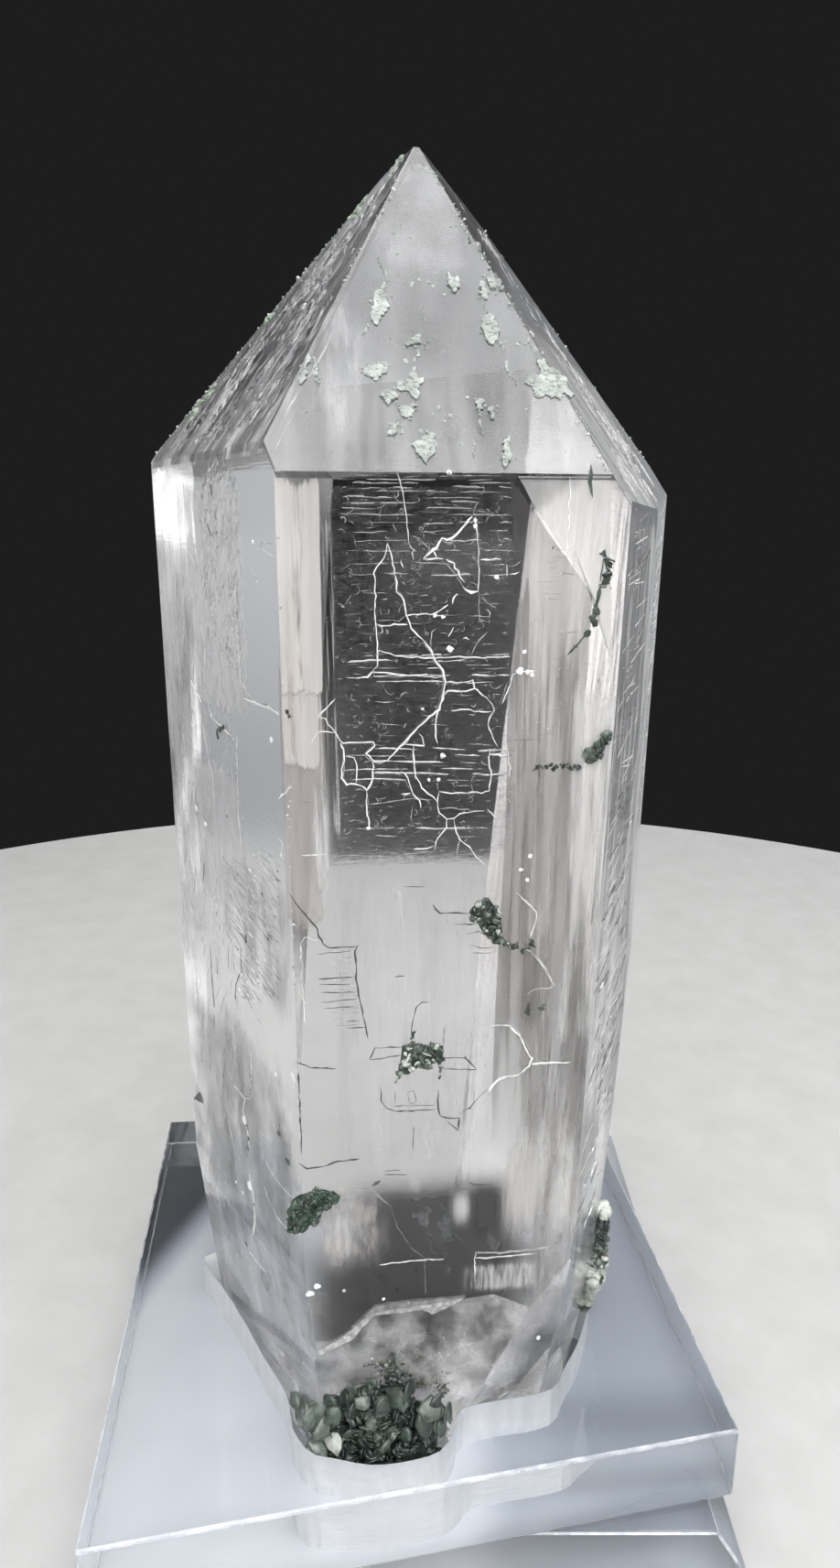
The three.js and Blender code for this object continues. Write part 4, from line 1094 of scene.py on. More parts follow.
# ------------------------------------------------------------------ cloudy sheets inside the quartz: milky cloud, painted light and painted shade
# the dark sheets are painted shade, standing for the dark surroundings seen through the crystal; the pale and warm
# sheets are partly milky cloud and partly painted light, standing for reflections of the lamps inside the crystal
VEIL_AND_PAINTED_LIGHT_MATS = []


def veil_and_painted_light_mat(name, plane, co, size, su, sv, lo, hi, strength, colour_, soft=0.25, distort=0.0, glow=False):
    s = Shade(name, Roughness=0.6)
    s.p.inputs["Base Color"].default_value = (*colour_, 1.0)
    u_ = s.dot(plane.u, float(plane.u @ co))
    v_ = s.dot(plane.v, float(plane.v @ co))
    hu, hv = size[0] / 2, size[1] / 2
    m = s.noise(s.frame(plane, su, sv, 0.3), 1.0, 5.0, 0.62, distortion=distort)
    edge_ = s.math("MULTIPLY", s.band(u_, -hu * (1 - soft), hu * (1 - soft), hu * soft + 1e-4), s.band(v_, -hv * (1 - soft), hv * (1 - soft), hv * soft + 1e-4))
    fine = s.noise(s.frame(plane, su * 2.3, sv * 2.3, 0.3), 1.0, 3.0, 0.6)
    mix = s.math("ADD", s.math("MULTIPLY", m, 0.72), s.math("MULTIPLY", fine, 0.28))
    a_ = s.math("MULTIPLY", s.ramp(s.math("ADD", mix, s.math("MULTIPLY", s.math("SUBTRACT", edge_, 1.0), 0.12 if glow else 0.42)), lo, hi), strength)
    tint = s.colour(fine, [(0.3, tuple(c * 0.84 for c in colour_)), (0.7, colour_)])
    s.set(Alpha=s.math("MULTIPLY", a_, s.ramp(edge_, 0.0, 1.0 if glow else 0.35)), Base_Color=tint)
    return s.mat


veils_and_painted_light = Soup()


def cut_to_crystal(vs, fs, margin=0.12):
    """The part of a sheet that lies inside the crystal."""
    bm = bmesh.new()
    new = [bm.verts.new(v_) for v_ in vs]
    for f_ in fs:
        bm.faces.new([new[i_] for i_ in f_])
    for f_ in FACE.values():
        bmesh.ops.bisect_plane(bm, geom=bm.verts[:] + bm.edges[:] + bm.faces[:], dist=1e-5, plane_co=Vector(f_.co - f_.n * margin),
                               plane_no=Vector(f_.n), clear_outer=True)
    return arrays(bm)


def veil_and_painted_light(face, box, depth, su, sv, lo, hi, strength, colour_=(0.93, 0.93, 0.94), soft=0.25, distort=0.0, slant=0.0, wave=0.04, glow=False):
    f = FACE[face]
    x0, y0, x1, y1 = box
    q = uv_of(face, [(x0, y0), (x1, y0), (x1, y1), (x0, y1)])
    u0, u1, v0, v1 = q[:, 0].min(), q[:, 0].max(), q[:, 1].min(), q[:, 1].max()
    nu, nv = 10, 22
    r = np.random.default_rng(int(x0 * 7 + y0 * 3 + x1))
    ph = r.uniform(0, 6.28, 4)
    vs = []
    for j_ in range(nv + 1):
        for i_ in range(nu + 1):
            a_, b_ = i_ / nu, j_ / nv
            d_ = depth + slant * (a_ - 0.5) + wave * (math.sin(5 * a_ + ph[0]) * math.cos(4 * b_ + ph[1]) + 0.5 * math.sin(9 * b_ + ph[2]))
            vs.append(f.at(np.array([u0 + (u1 - u0) * a_, v0 + (v1 - v0) * b_]), -max(0.15, d_)))
    fs = [(j_ * (nu + 1) + i_, j_ * (nu + 1) + i_ + 1, (j_ + 1) * (nu + 1) + i_ + 1, (j_ + 1) * (nu + 1) + i_) for j_ in range(nv) for i_ in range(nu)]
    co = f.at(np.array([(u0 + u1) / 2, (v0 + v1) / 2]))
    veils_and_painted_light.add(*cut_to_crystal(vs, fs), len(VEIL_AND_PAINTED_LIGHT_MATS))
    VEIL_AND_PAINTED_LIGHT_MATS.append(veil_and_painted_light_mat("veil_%02d" % len(VEIL_AND_PAINTED_LIGHT_MATS), f, co, (u1 - u0, v1 - v0), su, sv, lo, hi, strength, colour_, soft, distort, glow))


def veil_and_painted_light_shape(face, outline, depth, su, sv, lo, hi, strength, colour_, fade=None):
    """A sheet with an outline of its own, a little less dense here and there; its given colour is painted light when
    pale and painted shade when dark.
    """
    f = FACE[face]
    uv = ragged(uv_of(face, outline), np.random.default_rng(5), 0.05, 2)
    mid = uv.mean(0)
    vs = [f.at(mid, -depth - 0.3)] + [f.at(mid + (p_ - mid) * 0.5, -depth - 0.15) for p_ in uv] + [f.at(p_, -depth) for p_ in uv]
    n_ = len(uv)
    fs = [(0, 1 + i_, 1 + (i_ + 1) % n_) for i_ in range(n_)] + [(1 + i_, 1 + n_ + i_, 1 + n_ + (i_ + 1) % n_, 1 + (i_ + 1) % n_) for i_ in range(n_)]
    veils_and_painted_light.add(*cut_to_crystal(vs, fs), len(VEIL_AND_PAINTED_LIGHT_MATS))
    s = Shade("veil_%02d" % len(VEIL_AND_PAINTED_LIGHT_MATS), Roughness=0.6)
    m = s.noise(s.frame(f, su, sv, 0.3), 1.0, 4.0, 0.6)
    a_ = s.ramp(m, lo, hi, strength * 0.7, strength)
    if fade:                                                      # thins out downwards between the two heights
        top_, low_ = (FACE[face].at(uv_of(face, [(600, y_)])[0]) for y_ in fade)
        a_ = s.math("MULTIPLY", a_, s.ramp(s.dot(f.v, float(f.v @ low_)), 0.0, float(f.v @ (top_ - low_))))
    s.set(Alpha=a_, Base_Color=s.colour(m, [(0.3, tuple(c * 0.9 for c in colour_)), (0.7, colour_)]))
    VEIL_AND_PAINTED_LIGHT_MATS.append(s.mat)


# painted light: pale and beige sheets along the left of the front face stand for warm bright streaks reflected inside
# the crystal
veil_and_painted_light("m_front", (300, 500, 352, 780), 0.55, 0.5, 0.03, 0.34, 0.46, 0.9, (0.99, 0.96, 0.93), 0.25)
veil_and_painted_light("m_front", (330, 505, 370, 960), 1.45, 0.9, 0.02, 0.46, 0.56, 0.95, (0.97, 0.94, 0.91), 0.3)
veil_and_painted_light("m_front", (308, 540, 332, 900), 0.4, 1.1, 0.04, 0.5, 0.62, 0.4, (0.80, 0.68, 0.58), 0.6)
veil_and_painted_light("m_front", (304, 700, 352, 1040), 1.15, 0.3, 0.03, 0.2, 0.5, 0.8, (0.70, 0.65, 0.63), 0.3)
veil_and_painted_light("m_front", (306, 680, 352, 860), 0.8, 0.5, 0.03, 0.36, 0.5, 0.9, (0.98, 0.96, 0.94), 0.35)
veil_and_painted_light("m_front", (336, 810, 366, 1010), 0.35, 0.9, 0.05, 0.30, 0.56, 0.95, (0.99, 0.99, 0.99), 0.9, glow=True)
# on the faces of the point, the dark sheets are painted shade and the pale ones are partly milky haze and partly
# painted light
veil_and_painted_light("r_front", (292, 290, 410, 522), 0.34, 0.3, 0.05, 0.38, 0.62, 0.66, (0.80, 0.80, 0.81), 0.8, glow=True)
veil_and_painted_light("r_front", (330, 300, 400, 470), 1.7, 0.7, 0.05, 0.45, 0.6, 0.7, (0.97, 0.97, 0.98), 0.35)
veil_and_painted_light("r_front", (400, 150, 520, 330), 0.3, 0.12, 0.12, 0.36, 0.62, 0.22, (0.97, 0.97, 0.98), 0.6)
veil_and_painted_light("r_front", (480, 420, 590, 512), 1.2, 0.25, 0.12, 0.45, 0.65, 0.35, (0.9, 0.9, 0.92), 0.4)
veil_and_painted_light("r_front", (280, 170, 720, 530), 0.5, 0.07, 0.09, 0.2, 0.6, 0.8, (0.06, 0.06, 0.062), 0.02)
veil_and_painted_light("r_front", (560, 395, 710, 520), 0.35, 0.28, 0.28, 0.3, 0.6, 0.35, (0.45, 0.45, 0.45), 0.5, glow=True)
veil_and_painted_light("z_left", (160, 170, 455, 520), 0.6, 0.45, 0.035, 0.40, 0.56, 0.78, (0.06, 0.06, 0.065), 0.02)
veil_and_painted_light("z_left", (160, 170, 455, 520), 0.9, 0.6, 0.05, 0.48, 0.62, 0.85, (0.97, 0.97, 0.98), 0.02)
veil_and_painted_light("z_left", (300, 330, 400, 500), 1.3, 0.35, 0.05, 0.45, 0.6, 0.7, (0.97, 0.97, 0.98), 0.35)
veil_and_painted_light("z_right", (470, 170, 735, 550), 0.6, 0.4, 0.05, 0.46, 0.6, 0.55, (0.08, 0.08, 0.085), 0.02)
# on the left faces, the white sheets are painted light standing for the lamps seen through the crystal, and the grey
# and dark ones are painted shade
veil_and_painted_light("m_left", (210, 495, 264, 790), 0.6, 0.6, 0.12, 0.34, 0.52, 0.92, (0.99, 0.99, 1.0), 0.3)
veil_and_painted_light("m_left", (150, 508, 206, 1010), 0.45, 0.5, 0.04, 0.40, 0.6, 0.6, (1.0, 1.0, 1.0), 0.3)
veil_and_painted_light("m_left", (215, 830, 268, 985), 0.5, 0.4, 0.06, 0.15, 0.5, 0.8, (0.99, 0.99, 1.0), 0.4)
veil_and_painted_light("m_left", (185, 720, 262, 1010), 0.9, 0.3, 0.06, 0.48, 0.62, 0.7, (0.96, 0.96, 0.98), 0.3)
veil_and_painted_light("m_left", (205, 985, 275, 1180), 1.1, 0.25, 0.06, 0.45, 0.65, 0.6, (0.96, 0.96, 0.98), 0.35)
veil_and_painted_light("m_left", (225, 1150, 330, 1420), 1.4, 0.2, 0.07, 0.40, 0.66, 0.7, (0.22, 0.22, 0.22), 0.5, glow=True)
veil_and_painted_light("m_left", (256, 950, 326, 1090), 0.7, 0.3, 0.06, 0.35, 0.6, 0.5, (0.25, 0.25, 0.25), 0.6, glow=True)
veil_and_painted_light("z_left", (392, 165, 458, 300), 0.3, 0.3, 0.05, 0.35, 0.6, 0.6, (0.75, 0.75, 0.77), 0.5, glow=True)
veil_and_painted_light("m_left", (205, 1120, 335, 1440), 0.5, 0.12, 0.06, 0.3, 0.6, 0.5, (0.12, 0.12, 0.12), 0.35)
# on the front face, the dark sheets over the upper window and down the band to the right of it are painted shade; the
# white and warm sheets beside them and over the lower window are partly milky cloud and partly painted light
veil_and_painted_light_shape("m_front", [(566, 520), (668, 520), (668, 720), (652, 660), (622, 608), (592, 566)], 0.25, 0.3, 0.05, 0.3, 0.6, 0.6, (0.97, 0.96, 0.95))
veil_and_painted_light_shape("m_front", [(558, 519), (590, 566), (622, 612), (648, 650), (640, 760), (634, 900), (640, 1000), (648, 1330), (600, 1352), (538, 1300), (538, 1190), (546, 1000), (551, 930), (556, 750), (562, 600)], 0.35,
           0.5, 0.02, 0.2, 0.7, 0.6, (0.15, 0.14, 0.135), fade=(1080, 1320))
veil_and_painted_light("m_front", (364, 522, 560, 940), 0.32, 0.8, 2.2, 0.34, 0.66, 0.42, (0.26, 0.26, 0.27), 0.06)
veil_and_painted_light("m_front", (556, 560, 600, 1180), 0.6, 0.7, 0.02, 0.48, 0.6, 0.6, (0.97, 0.95, 0.93), 0.3)
veil_and_painted_light("m_front", (620, 700, 668, 1180), 0.3, 0.6, 0.03, 0.36, 0.56, 0.8, (1.0, 0.99, 0.98), 0.3)
veil_and_painted_light("m_front", (545, 640, 640, 1290), 0.5, 0.45, 0.02, 0.44, 0.6, 0.55, (0.30, 0.26, 0.24), 0.3, glow=True)
veil_and_painted_light("m_front", (560, 980, 650, 1290), 0.9, 0.5, 0.03, 0.46, 0.62, 0.7, (0.99, 0.95, 0.92), 0.4, glow=True)
veil_and_painted_light("m_front", (366, 945, 545, 1280), 0.9, 0.25, 0.02, 0.45, 0.65, 0.25, (0.55, 0.55, 0.56), 0.15, glow=True)
veil_and_painted_light("m_front", (366, 960, 545, 1280), 1.3, 0.4, 0.03, 0.42, 0.65, 0.3, (1.0, 1.0, 1.0), 0.15, glow=True)
# the foot: a dark middle of painted shade, made of dark sheets standing for the dark surroundings seen through the
# base, between white and brownish clouds that are partly painted light
veil_and_painted_light("m_front", (352, 1282, 600, 1462), 2.7, 0.20, 0.12, 0.14, 0.46, 0.97, (0.012, 0.012, 0.013), 0.55, glow=True)
veil_and_painted_light("m_front", (316, 1352, 520, 1500), 3.1, 0.16, 0.14, 0.0, 0.34, 0.95, (0.02, 0.02, 0.02), 0.65, glow=True)
veil_and_painted_light("m_front", (330, 1284, 440, 1410), 2.0, 0.3, 0.09, 0.25, 0.62, 0.95, (0.86, 0.81, 0.78), 0.8, glow=True)
veil_and_painted_light("m_front", (356, 1310, 392, 1400), 1.6, 0.9, 0.08, 0.25, 0.62, 0.95, (1.0, 0.98, 0.96), 0.9, glow=True)
veil_and_painted_light("m_front", (488, 1296, 522, 1356), 2.2, 0.7, 0.05, 0.05, 0.6, 0.95, (0.98, 0.97, 0.96), 0.98, glow=True)
veil_and_painted_light("m_front", (512, 1288, 552, 1368), 1.5, 0.5, 0.05, 0.0, 0.5, 0.85, (0.03, 0.03, 0.03), 0.7, glow=True)
veil_and_painted_light("m_front", (538, 1215, 604, 1384), 1.6, 0.6, 0.03, 0.15, 0.6, 0.95, (0.97, 0.94, 0.92), 0.9, glow=True)
veil_and_painted_light("m_front", (570, 1190, 676, 1450), 3.3, 0.35, 0.03, 0.40, 0.62, 0.7, (0.22, 0.19, 0.17), 0.5, glow=True)
veil_and_painted_light("m_front", (580, 1190, 676, 1450), 1.75, 0.4, 0.04, 0.40, 0.70, 0.8, (0.97, 0.93, 0.90), 0.5, glow=True)
veil_and_painted_light("m_front", (356, 1432, 476, 1486), 1.2, 0.2, 0.2, 0.2, 0.6, 0.75, (0.03, 0.03, 0.03), 0.8, glow=True)
veil_and_painted_light("m_front", (540, 1470, 656, 1562), 0.9, 0.5, 0.5, 0.3, 0.6, 0.8, (0.10, 0.09, 0.085), 0.6, glow=True)
veil_and_painted_light("m_front", (498, 1410, 572, 1492), 1.0, 0.6, 0.1, 0.4, 0.6, 0.75, (0.06, 0.055, 0.05), 0.7, glow=True)
veil_and_painted_light("m_front", (498, 1384, 600, 1416), 1.9, 0.9, 0.10, 0.30, 0.60, 0.9, (0.99, 0.98, 0.97), 0.6, glow=True)
veil_and_painted_light("m_front", (330, 1420, 660, 1550), 3.6, 0.10, 0.12, 0.35, 0.66, 0.7, (0.50, 0.47, 0.45), 0.5, glow=True)
veil_and_painted_light("m_front", (548, 1450, 690, 1566), 2.9, 0.22, 0.22, 0.10, 0.50, 0.95, (0.02, 0.019, 0.018), 0.6, glow=True)
veil_and_painted_light("m_front", (340, 1440, 560, 1540), 4.2, 0.12, 0.14, 0.2, 0.6, 0.7, (0.04, 0.04, 0.04), 0.5, glow=True)
# on the right faces, the dark sheets are painted shade and the white ones are painted light
veil_and_painted_light("m_right", (664, 545, 734, 900), 0.8, 0.5, 0.04, 0.44, 0.6, 0.75, (0.05, 0.05, 0.052), 0.1)
veil_and_painted_light("m_right", (664, 550, 734, 1000), 0.5, 0.7, 0.06, 0.5, 0.62, 0.85, (0.99, 0.99, 1.0), 0.1)
veil_and_painted_light("m_right", (640, 940, 692, 1180), 0.7, 0.4, 0.04, 0.36, 0.6, 0.75, (0.20, 0.20, 0.20), 0.5, glow=True)
veil_and_painted_light("m_right_narrow", (696, 545, 740, 930), 0.45, 0.5, 0.05, 0.30, 0.52, 0.85, (0.99, 0.99, 0.99), 0.1)
s = Soup()
s.v, s.f, s.m = veils_and_painted_light.v, veils_and_painted_light.f, veils_and_painted_light.m
veil_and_painted_light_obj = finish_piece(s.object("inner_veils_and_painted_light", fix=False), VEIL_AND_PAINTED_LIGHT_MATS, smooth=True)

# ------------------------------------------------------------------ pale flakes and crumbs
def area_of(p):
    return 0.5 * abs(np.sum(p[:, 0] * np.roll(p[:, 1], -1) - np.roll(p[:, 0], -1) * p[:, 1]))


s = Shade("chlorite_flake", Roughness=0.55)
m = s.noise(s.scaled(0.55, 0.55, 0.55), 1.0, 5.0, 0.65)
s.set(Base_Color=s.colour(m, [(0.3, (0.17, 0.195, 0.175)), (0.5, (0.29, 0.315, 0.295)), (0.7, (0.44, 0.46, 0.44))]),
      Normal=s.bump(s.noise(s.scaled(2.2, 2.2, 2.2), 1.0, 4.0), 0.12, 1.0))
FLAKE = s.mat
s = Shade("quartz_crumb", IOR=1.55, Roughness=0.35)
m = s.noise(s.scaled(0.7, 0.7, 0.7), 1.0, 3.0, 0.6)
s.set(Base_Color=s.colour(m, [(0.3, (0.50, 0.52, 0.51)), (0.7, (0.84, 0.84, 0.84))]), Transmission_Weight=s.ramp(m, 0.35, 0.65, 0.7, 0.25),
      Normal=s.bump(s.noise(s.scaled(2.0, 2.0, 2.0), 1.0, 3.0), 0.08, 1.0))
CRUMB = s.mat
s = Shade("chlorite_crumb", Roughness=0.5)
m = s.noise(s.scaled(0.8, 0.8, 0.8), 1.0, 3.0, 0.6)
s.set(Base_Color=s.colour(m, [(0.3, (0.12, 0.16, 0.12)), (0.7, (0.36, 0.41, 0.35))]), Normal=s.bump(s.noise(s.scaled(2.0, 2.0, 2.0), 1.0, 3.0), 0.08, 1.0))
CRUMB_GREEN = s.mat

flakes = Soup()
r = np.random.default_rng(90)
for pts in FLAKES:
    uv = ragged(uv_of("r_front", pts), r)
    h = r.uniform(0.14, 0.24)
    flakes.add(*prism(POINT, uv, -0.15, h, 0.35), 0)
    n_top = int(area_of(uv) * 5.0) + 4
    lo, hi = uv.min(0), uv.max(0)
    q = r.uniform(lo, hi, (n_top * 4, 2))
    q = q[inside(uv * 0.92 + uv.mean(0) * 0.08, q)][:n_top]
    for c in q:
        rad = r.uniform(0.1, 0.42)
        flakes.add(*pebble(POINT.at(c, h), (rad, rad * r.uniform(0.5, 1.0), r.uniform(0.05, 0.14)), r, 0.35, np.array([POINT.u, POINT.v, POINT.n])), 0)
    for _ in range(7):                                            # crumbs round its edge
        c = uv[r.integers(len(uv))] + r.normal(0, 0.3, 2)
        rad = r.uniform(0.06, 0.2)
        flakes.add(*pebble(POINT.at(c, 0.03), (rad, rad, rad * 0.7), r, 0.35, np.array([POINT.u, POINT.v, POINT.n])), 0)
for pts, w in FLAKE_TAILS:
    line = resample(on("r_front", pts), 0.28)
    for q in line:
        rad = 0.5 * w * r.uniform(0.45, 1.15)
        flakes.add(*pebble(q + POINT.u * r.normal(0, 0.1), (rad, rad * r.uniform(0.8, 1.5), 0.14), r, 0.35, np.array([POINT.u, POINT.v, POINT.n])), 0)
for q in on("r_front", FLAKE_SPECKS):
    rad = r.uniform(0.12, 0.3)
    flakes.add(*pebble(q, (rad, rad * r.uniform(0.7, 1.4), 0.12), r, 0.35, np.array([POINT.u, POINT.v, POINT.n])), 0)
for q in on("r_front", [(r.uniform(392, 620), r.uniform(300, 512)) for _ in range(150)]):
    if all(q @ FACE[k].n < FACE[k].d - 0.3 for k in ("z_left", "z_right", "m_front")):
        rad = r.uniform(0.03, 0.1)
        flakes.add(*pebble(q, (rad, rad, 0.05), r, 0.35, np.array([POINT.u, POINT.v, POINT.n])), 0)
flakes = finish_piece(flakes.object("pale_flakes"), [FLAKE])


def edge_line(f1, f2, z0, z1, step):
    m3 = np.array([FACE[f1].n, FACE[f2].n, [0, 0, 1.0]])
    n = max(2, int(abs(z1 - z0) / step))
    return np.array([np.linalg.solve(m3, np.array([FACE[f1].d, FACE[f2].d, z])) for z in np.linspace(z0, z1, n)])


def corner_z(f1, f2, f3):
    return float(np.linalg.solve(np.array([FACE[f1].n, FACE[f2].n, FACE[f3].n]), np.array([FACE[f1].d, FACE[f2].d, FACE[f3].d]))[2])


crumbs = Soup()
r = np.random.default_rng(91)
top_z = 192.1


def crumble(f1, f2, z0, z1, step, sizes, chance, mats, push=0.0, spread_=0.25):
    a_ = (FACE[f1].n + FACE[f2].n)
    a_ = a_ / np.linalg.norm(a_)
    for q in edge_line(f1, f2, z0, z1, step):
        if r.random() > chance or any(q @ f_.n > f_.d + 0.02 for f_ in FACE.values()):
            continue                                              # the edge has ended: another face cuts it off
        rad = r.uniform(*sizes) * (1.8 if r.random() < 0.08 else 1.0)
        c = q - a_ * (rad * 0.55 - push) + r.normal(0, spread_, 3) * np.array([1, 1, 1])
        c = c - a_ * max(0.0, float((c - q) @ a_) - 0.02)
        if c[2] + rad > top_z:
            c[2] = top_z - rad
        crumbs.add(*pebble(c, (rad, rad * r.uniform(0.6, 1.0), rad * r.uniform(0.7, 1.6)), r, 0.35, random_axes(r)), mats[int(r.integers(len(mats)))])


z_tip = 189.5
z_lf = corner_z("r_front", "z_left", "m_front")
z_rf = corner_z("r_front", "z_right", "m_front")
z_zl = corner_z("z_left", "r_back_left", "m_left")
z_zr = corner_z("z_right", "r_back_right", "m_right_narrow")
print("corners", round(z_lf, 1), round(z_rf, 1), round(z_zl, 1), round(z_zr, 1))
crumble("r_front", "z_right", z_tip, z_rf, 0.14, (0.05, 0.2), 0.5, [0, 0, 0, 1])
crumble("z_left", "r_back_left", z_tip - 1, z_zl, 0.12, (0.06, 0.24), 0.5, [0, 0, 0, 1, 1], 0.0, 0.22)
crumble("r_front", "z_left", z_tip, z_lf + 20, 0.35, (0.06, 0.2), 0.5, [0])
crumble("z_right", "r_back_right", z_tip, z_zr, 0.3, (0.05, 0.18), 0.3, [0, 1], -0.02)
crumble("m_front", "m_left", 148.0, 50.0, 0.8, (0.05, 0.16), 0.4, [0], 0.0, 0.1)
crumble("m_right", "m_right_narrow", 140.0, 40.0, 0.7, (0.05, 0.2), 0.4, [0], 0.0, 0.1)
for _ in range(26):                                                # the blunted tip
    a_ = r.uniform(0, 2 * math.pi)
    z = r.uniform(187.5, 191.9)
    k_ = (192.6 - z) * 0.62
    c0 = FACE["tip"].co
    tip0 = np.linalg.solve(np.array([POINT.n, ZLEFT.n, ZRIGHT.n]), np.array([POINT.d, ZLEFT.d, ZRIGHT.d]))
    c = np.array([tip0[0] + math.cos(a_) * k_, tip0[1] + 1.4 + math.sin(a_) * k_, z])
    for key in ("r_front", "z_left", "z_right", "r_back_left", "r_back_right", "z_back"):
        over = float(c @ FACE[key].n - FACE[key].d)
        if over > -0.05:
            c = c - FACE[key].n * (over + 0.05)
    rad = r.uniform(0.4, 0.8)
    c[2] = min(c[2], 192.1 - rad)
    crumbs.add(*pebble(c, (rad, rad, rad * 0.8), r, 0.16, random_axes(r), detail=2), 0)
for pts in (L([(1010, 290), (1016, 300), (1002, 276)]), L([(230, 1260), (236, 1270)]), L([(575, 815), (580, 826)]), L([(300, 1160), (306, 1170)]), K([(475, 90), (482, 100)]), K([(290, 290), (296, 300)])):
    for q in on("z_left", pts):
        for _ in range(7):
            rad = r.uniform(0.2, 0.5)
            c = q + ZLEFT.u * r.normal(0, 0.5) + ZLEFT.v * r.normal(0, 0.7) - ZLEFT.n * 0.05
            if c @ FACE["r_back_left"].n > FACE["r_back_left"].d - 0.1:
                c = c - FACE["r_back_left"].n * (c @ FACE["r_back_left"].n - FACE["r_back_left"].d + 0.1)
            crumbs.add(*pebble(c, (rad, rad, rad * 0.7), r, 0.35, np.array([ZLEFT.u, ZLEFT.v, ZLEFT.n])), 1)
crumbs = finish_piece(crumbs.object("edge_crumbs"), [CRUMB, CRUMB_GREEN])
# ------------------------------------------------------------------ chlorite
def leaf(centre, rad, thick, axes, r, sides=9, lobes=0.17):
    """A rounded platelet; its flat faces look along the third axis."""
    a_ = np.arange(sides) * 2 * math.pi / sides + r.uniform(-0.15, 0.15, sides)
    k_ = rad * (1.0 + lobes * r.standard_normal(sides)).clip(0.7, 1.3)
    x, y = np.cos(a_) * k_, np.sin(a_) * k_ * r.uniform(0.72, 1.0)
    tilt = r.uniform(-0.15, 0.15) * thick
    rings = [(0.80, 0.5), (0.97, 0.22), (0.97, -0.22), (0.80, -0.5)]
    v_ = np.vstack([np.stack([x * s_, y * s_, np.full(sides, h_ * thick) + tilt], 1) for s_, h_ in rings] + [np.array([[0, 0, 0.56 * thick], [0, 0, -0.56 * thick]])])
    f_ = []
    for j_ in range(3):
        for i_ in range(sides):
            n_i = (i_ + 1) % sides
            f_.append((j_ * sides + i_, (j_ + 1) * sides + i_, (j_ + 1) * sides + n_i, j_ * sides + n_i))
    t_, b_ = 4 * sides, 4 * sides + 1
    for i_ in range(sides):
        n_i = (i_ + 1) % sides
        f_.append((t_, i_, n_i))
        f_.append((b_, 3 * sides + n_i, 3 * sides + i_))
    return v_ @ np.asarray(axes) + np.asarray(centre), f_


def axes_from(n, r):
    n = np.asarray(n, dtype=float)
    n = n / np.linalg.norm(n)
    t_ = np.cross(n, r.standard_normal(3))
    t_ /= np.linalg.norm(t_)
    return np.array([t_, np.cross(n, t_), n])


def book(soup, centre, n, rad, thick, count, r, mat, ok=None):
    """A stack of platelets, each a little turned and shifted."""
    n = n / np.linalg.norm(n)
    for i_ in range(count):
        m_ = n + r.normal(0, 0.07, 3)
        c_ = centre + n * thick * 0.95 * (i_ - (count - 1) / 2) + r.normal(0, 0.08 * rad, 3)
        q_ = rad * r.uniform(0.8, 1.08)
        if ok is None or ok(c_, q_):
            soup.add(*leaf(c_, q_, thick, axes_from(m_, r), r), mat)


def chlorite_shade(name, low, mid, high, rough, trans=0.0):
    s = Shade(name, Roughness=rough, IOR=1.58)
    m = s.noise(s.scaled(0.22, 0.22, 0.22), 1.0, 5.0, 0.6)
    fine = s.noise(s.scaled(1.1, 1.1, 1.1), 1.0, 3.0, 0.6)
    mix = s.math("ADD", s.math("MULTIPLY", m, 0.65), s.math("MULTIPLY", fine, 0.35))
    s.set(Base_Color=s.colour(mix, [(0.36, low), (0.5, mid), (0.64, high)]), Normal=s.bump(fine, 0.08, 0.8))
    if trans:
        s.set(Transmission_Weight=s.ramp(mix, 0.4, 0.6, trans, trans * 0.3))
    return s.mat


CHLORITE = [chlorite_shade("chlorite_dark", (0.006, 0.010, 0.008), (0.018, 0.028, 0.022), (0.05, 0.07, 0.057), 0.35),
            chlorite_shade("chlorite_green", (0.014, 0.022, 0.018), (0.036, 0.05, 0.042), (0.10, 0.13, 0.11), 0.33),
            chlorite_shade("chlorite_grey", (0.035, 0.048, 0.04), (0.085, 0.108, 0.092), (0.24, 0.28, 0.25), 0.3, 0.25),
            chlorite_shade("chlorite_moss", (0.008, 0.022, 0.012), (0.024, 0.058, 0.035), (0.10, 0.16, 0.115), 0.4),
            chlorite_shade("chlorite_olive", (0.10, 0.10, 0.045), (0.22, 0.21, 0.10), (0.36, 0.35, 0.20), 0.6),
            chlorite_shade("chlorite_cream", (0.22, 0.24, 0.20), (0.42, 0.44, 0.40), (0.62, 0.64, 0.60), 0.5)]

POCKET = np.array([[-33.9, -3.3], [-31.3, -7.6], [-28.9, -10.6], [-24.4, -17.2], [-20.2, -24.0], [-15.3, -31.6], [-13.9, -36.6], [-10.9, -40.2], [-7.4, -41.0],
                   [-2.6, -41.9], [2.4, -41.4], [7.2, -39.7], [9.0, -36.6], [9.9, -33.7], [14.6, -32.1], [21.3, -30.9], [24.4, -29.5], [26.2, -26.2], [27.9, -23.6],
                   [30.2, -18.8], [32.3, -10.6], [29.2, -7.6], [22.6, -3.8], [14.6, 4.2], [7.4, 10.9], [-1.0, 11.2], [-10.5, 11.3], [-19.8, 11.4], [-25.9, 3.4], [-30.6, -1.6]])


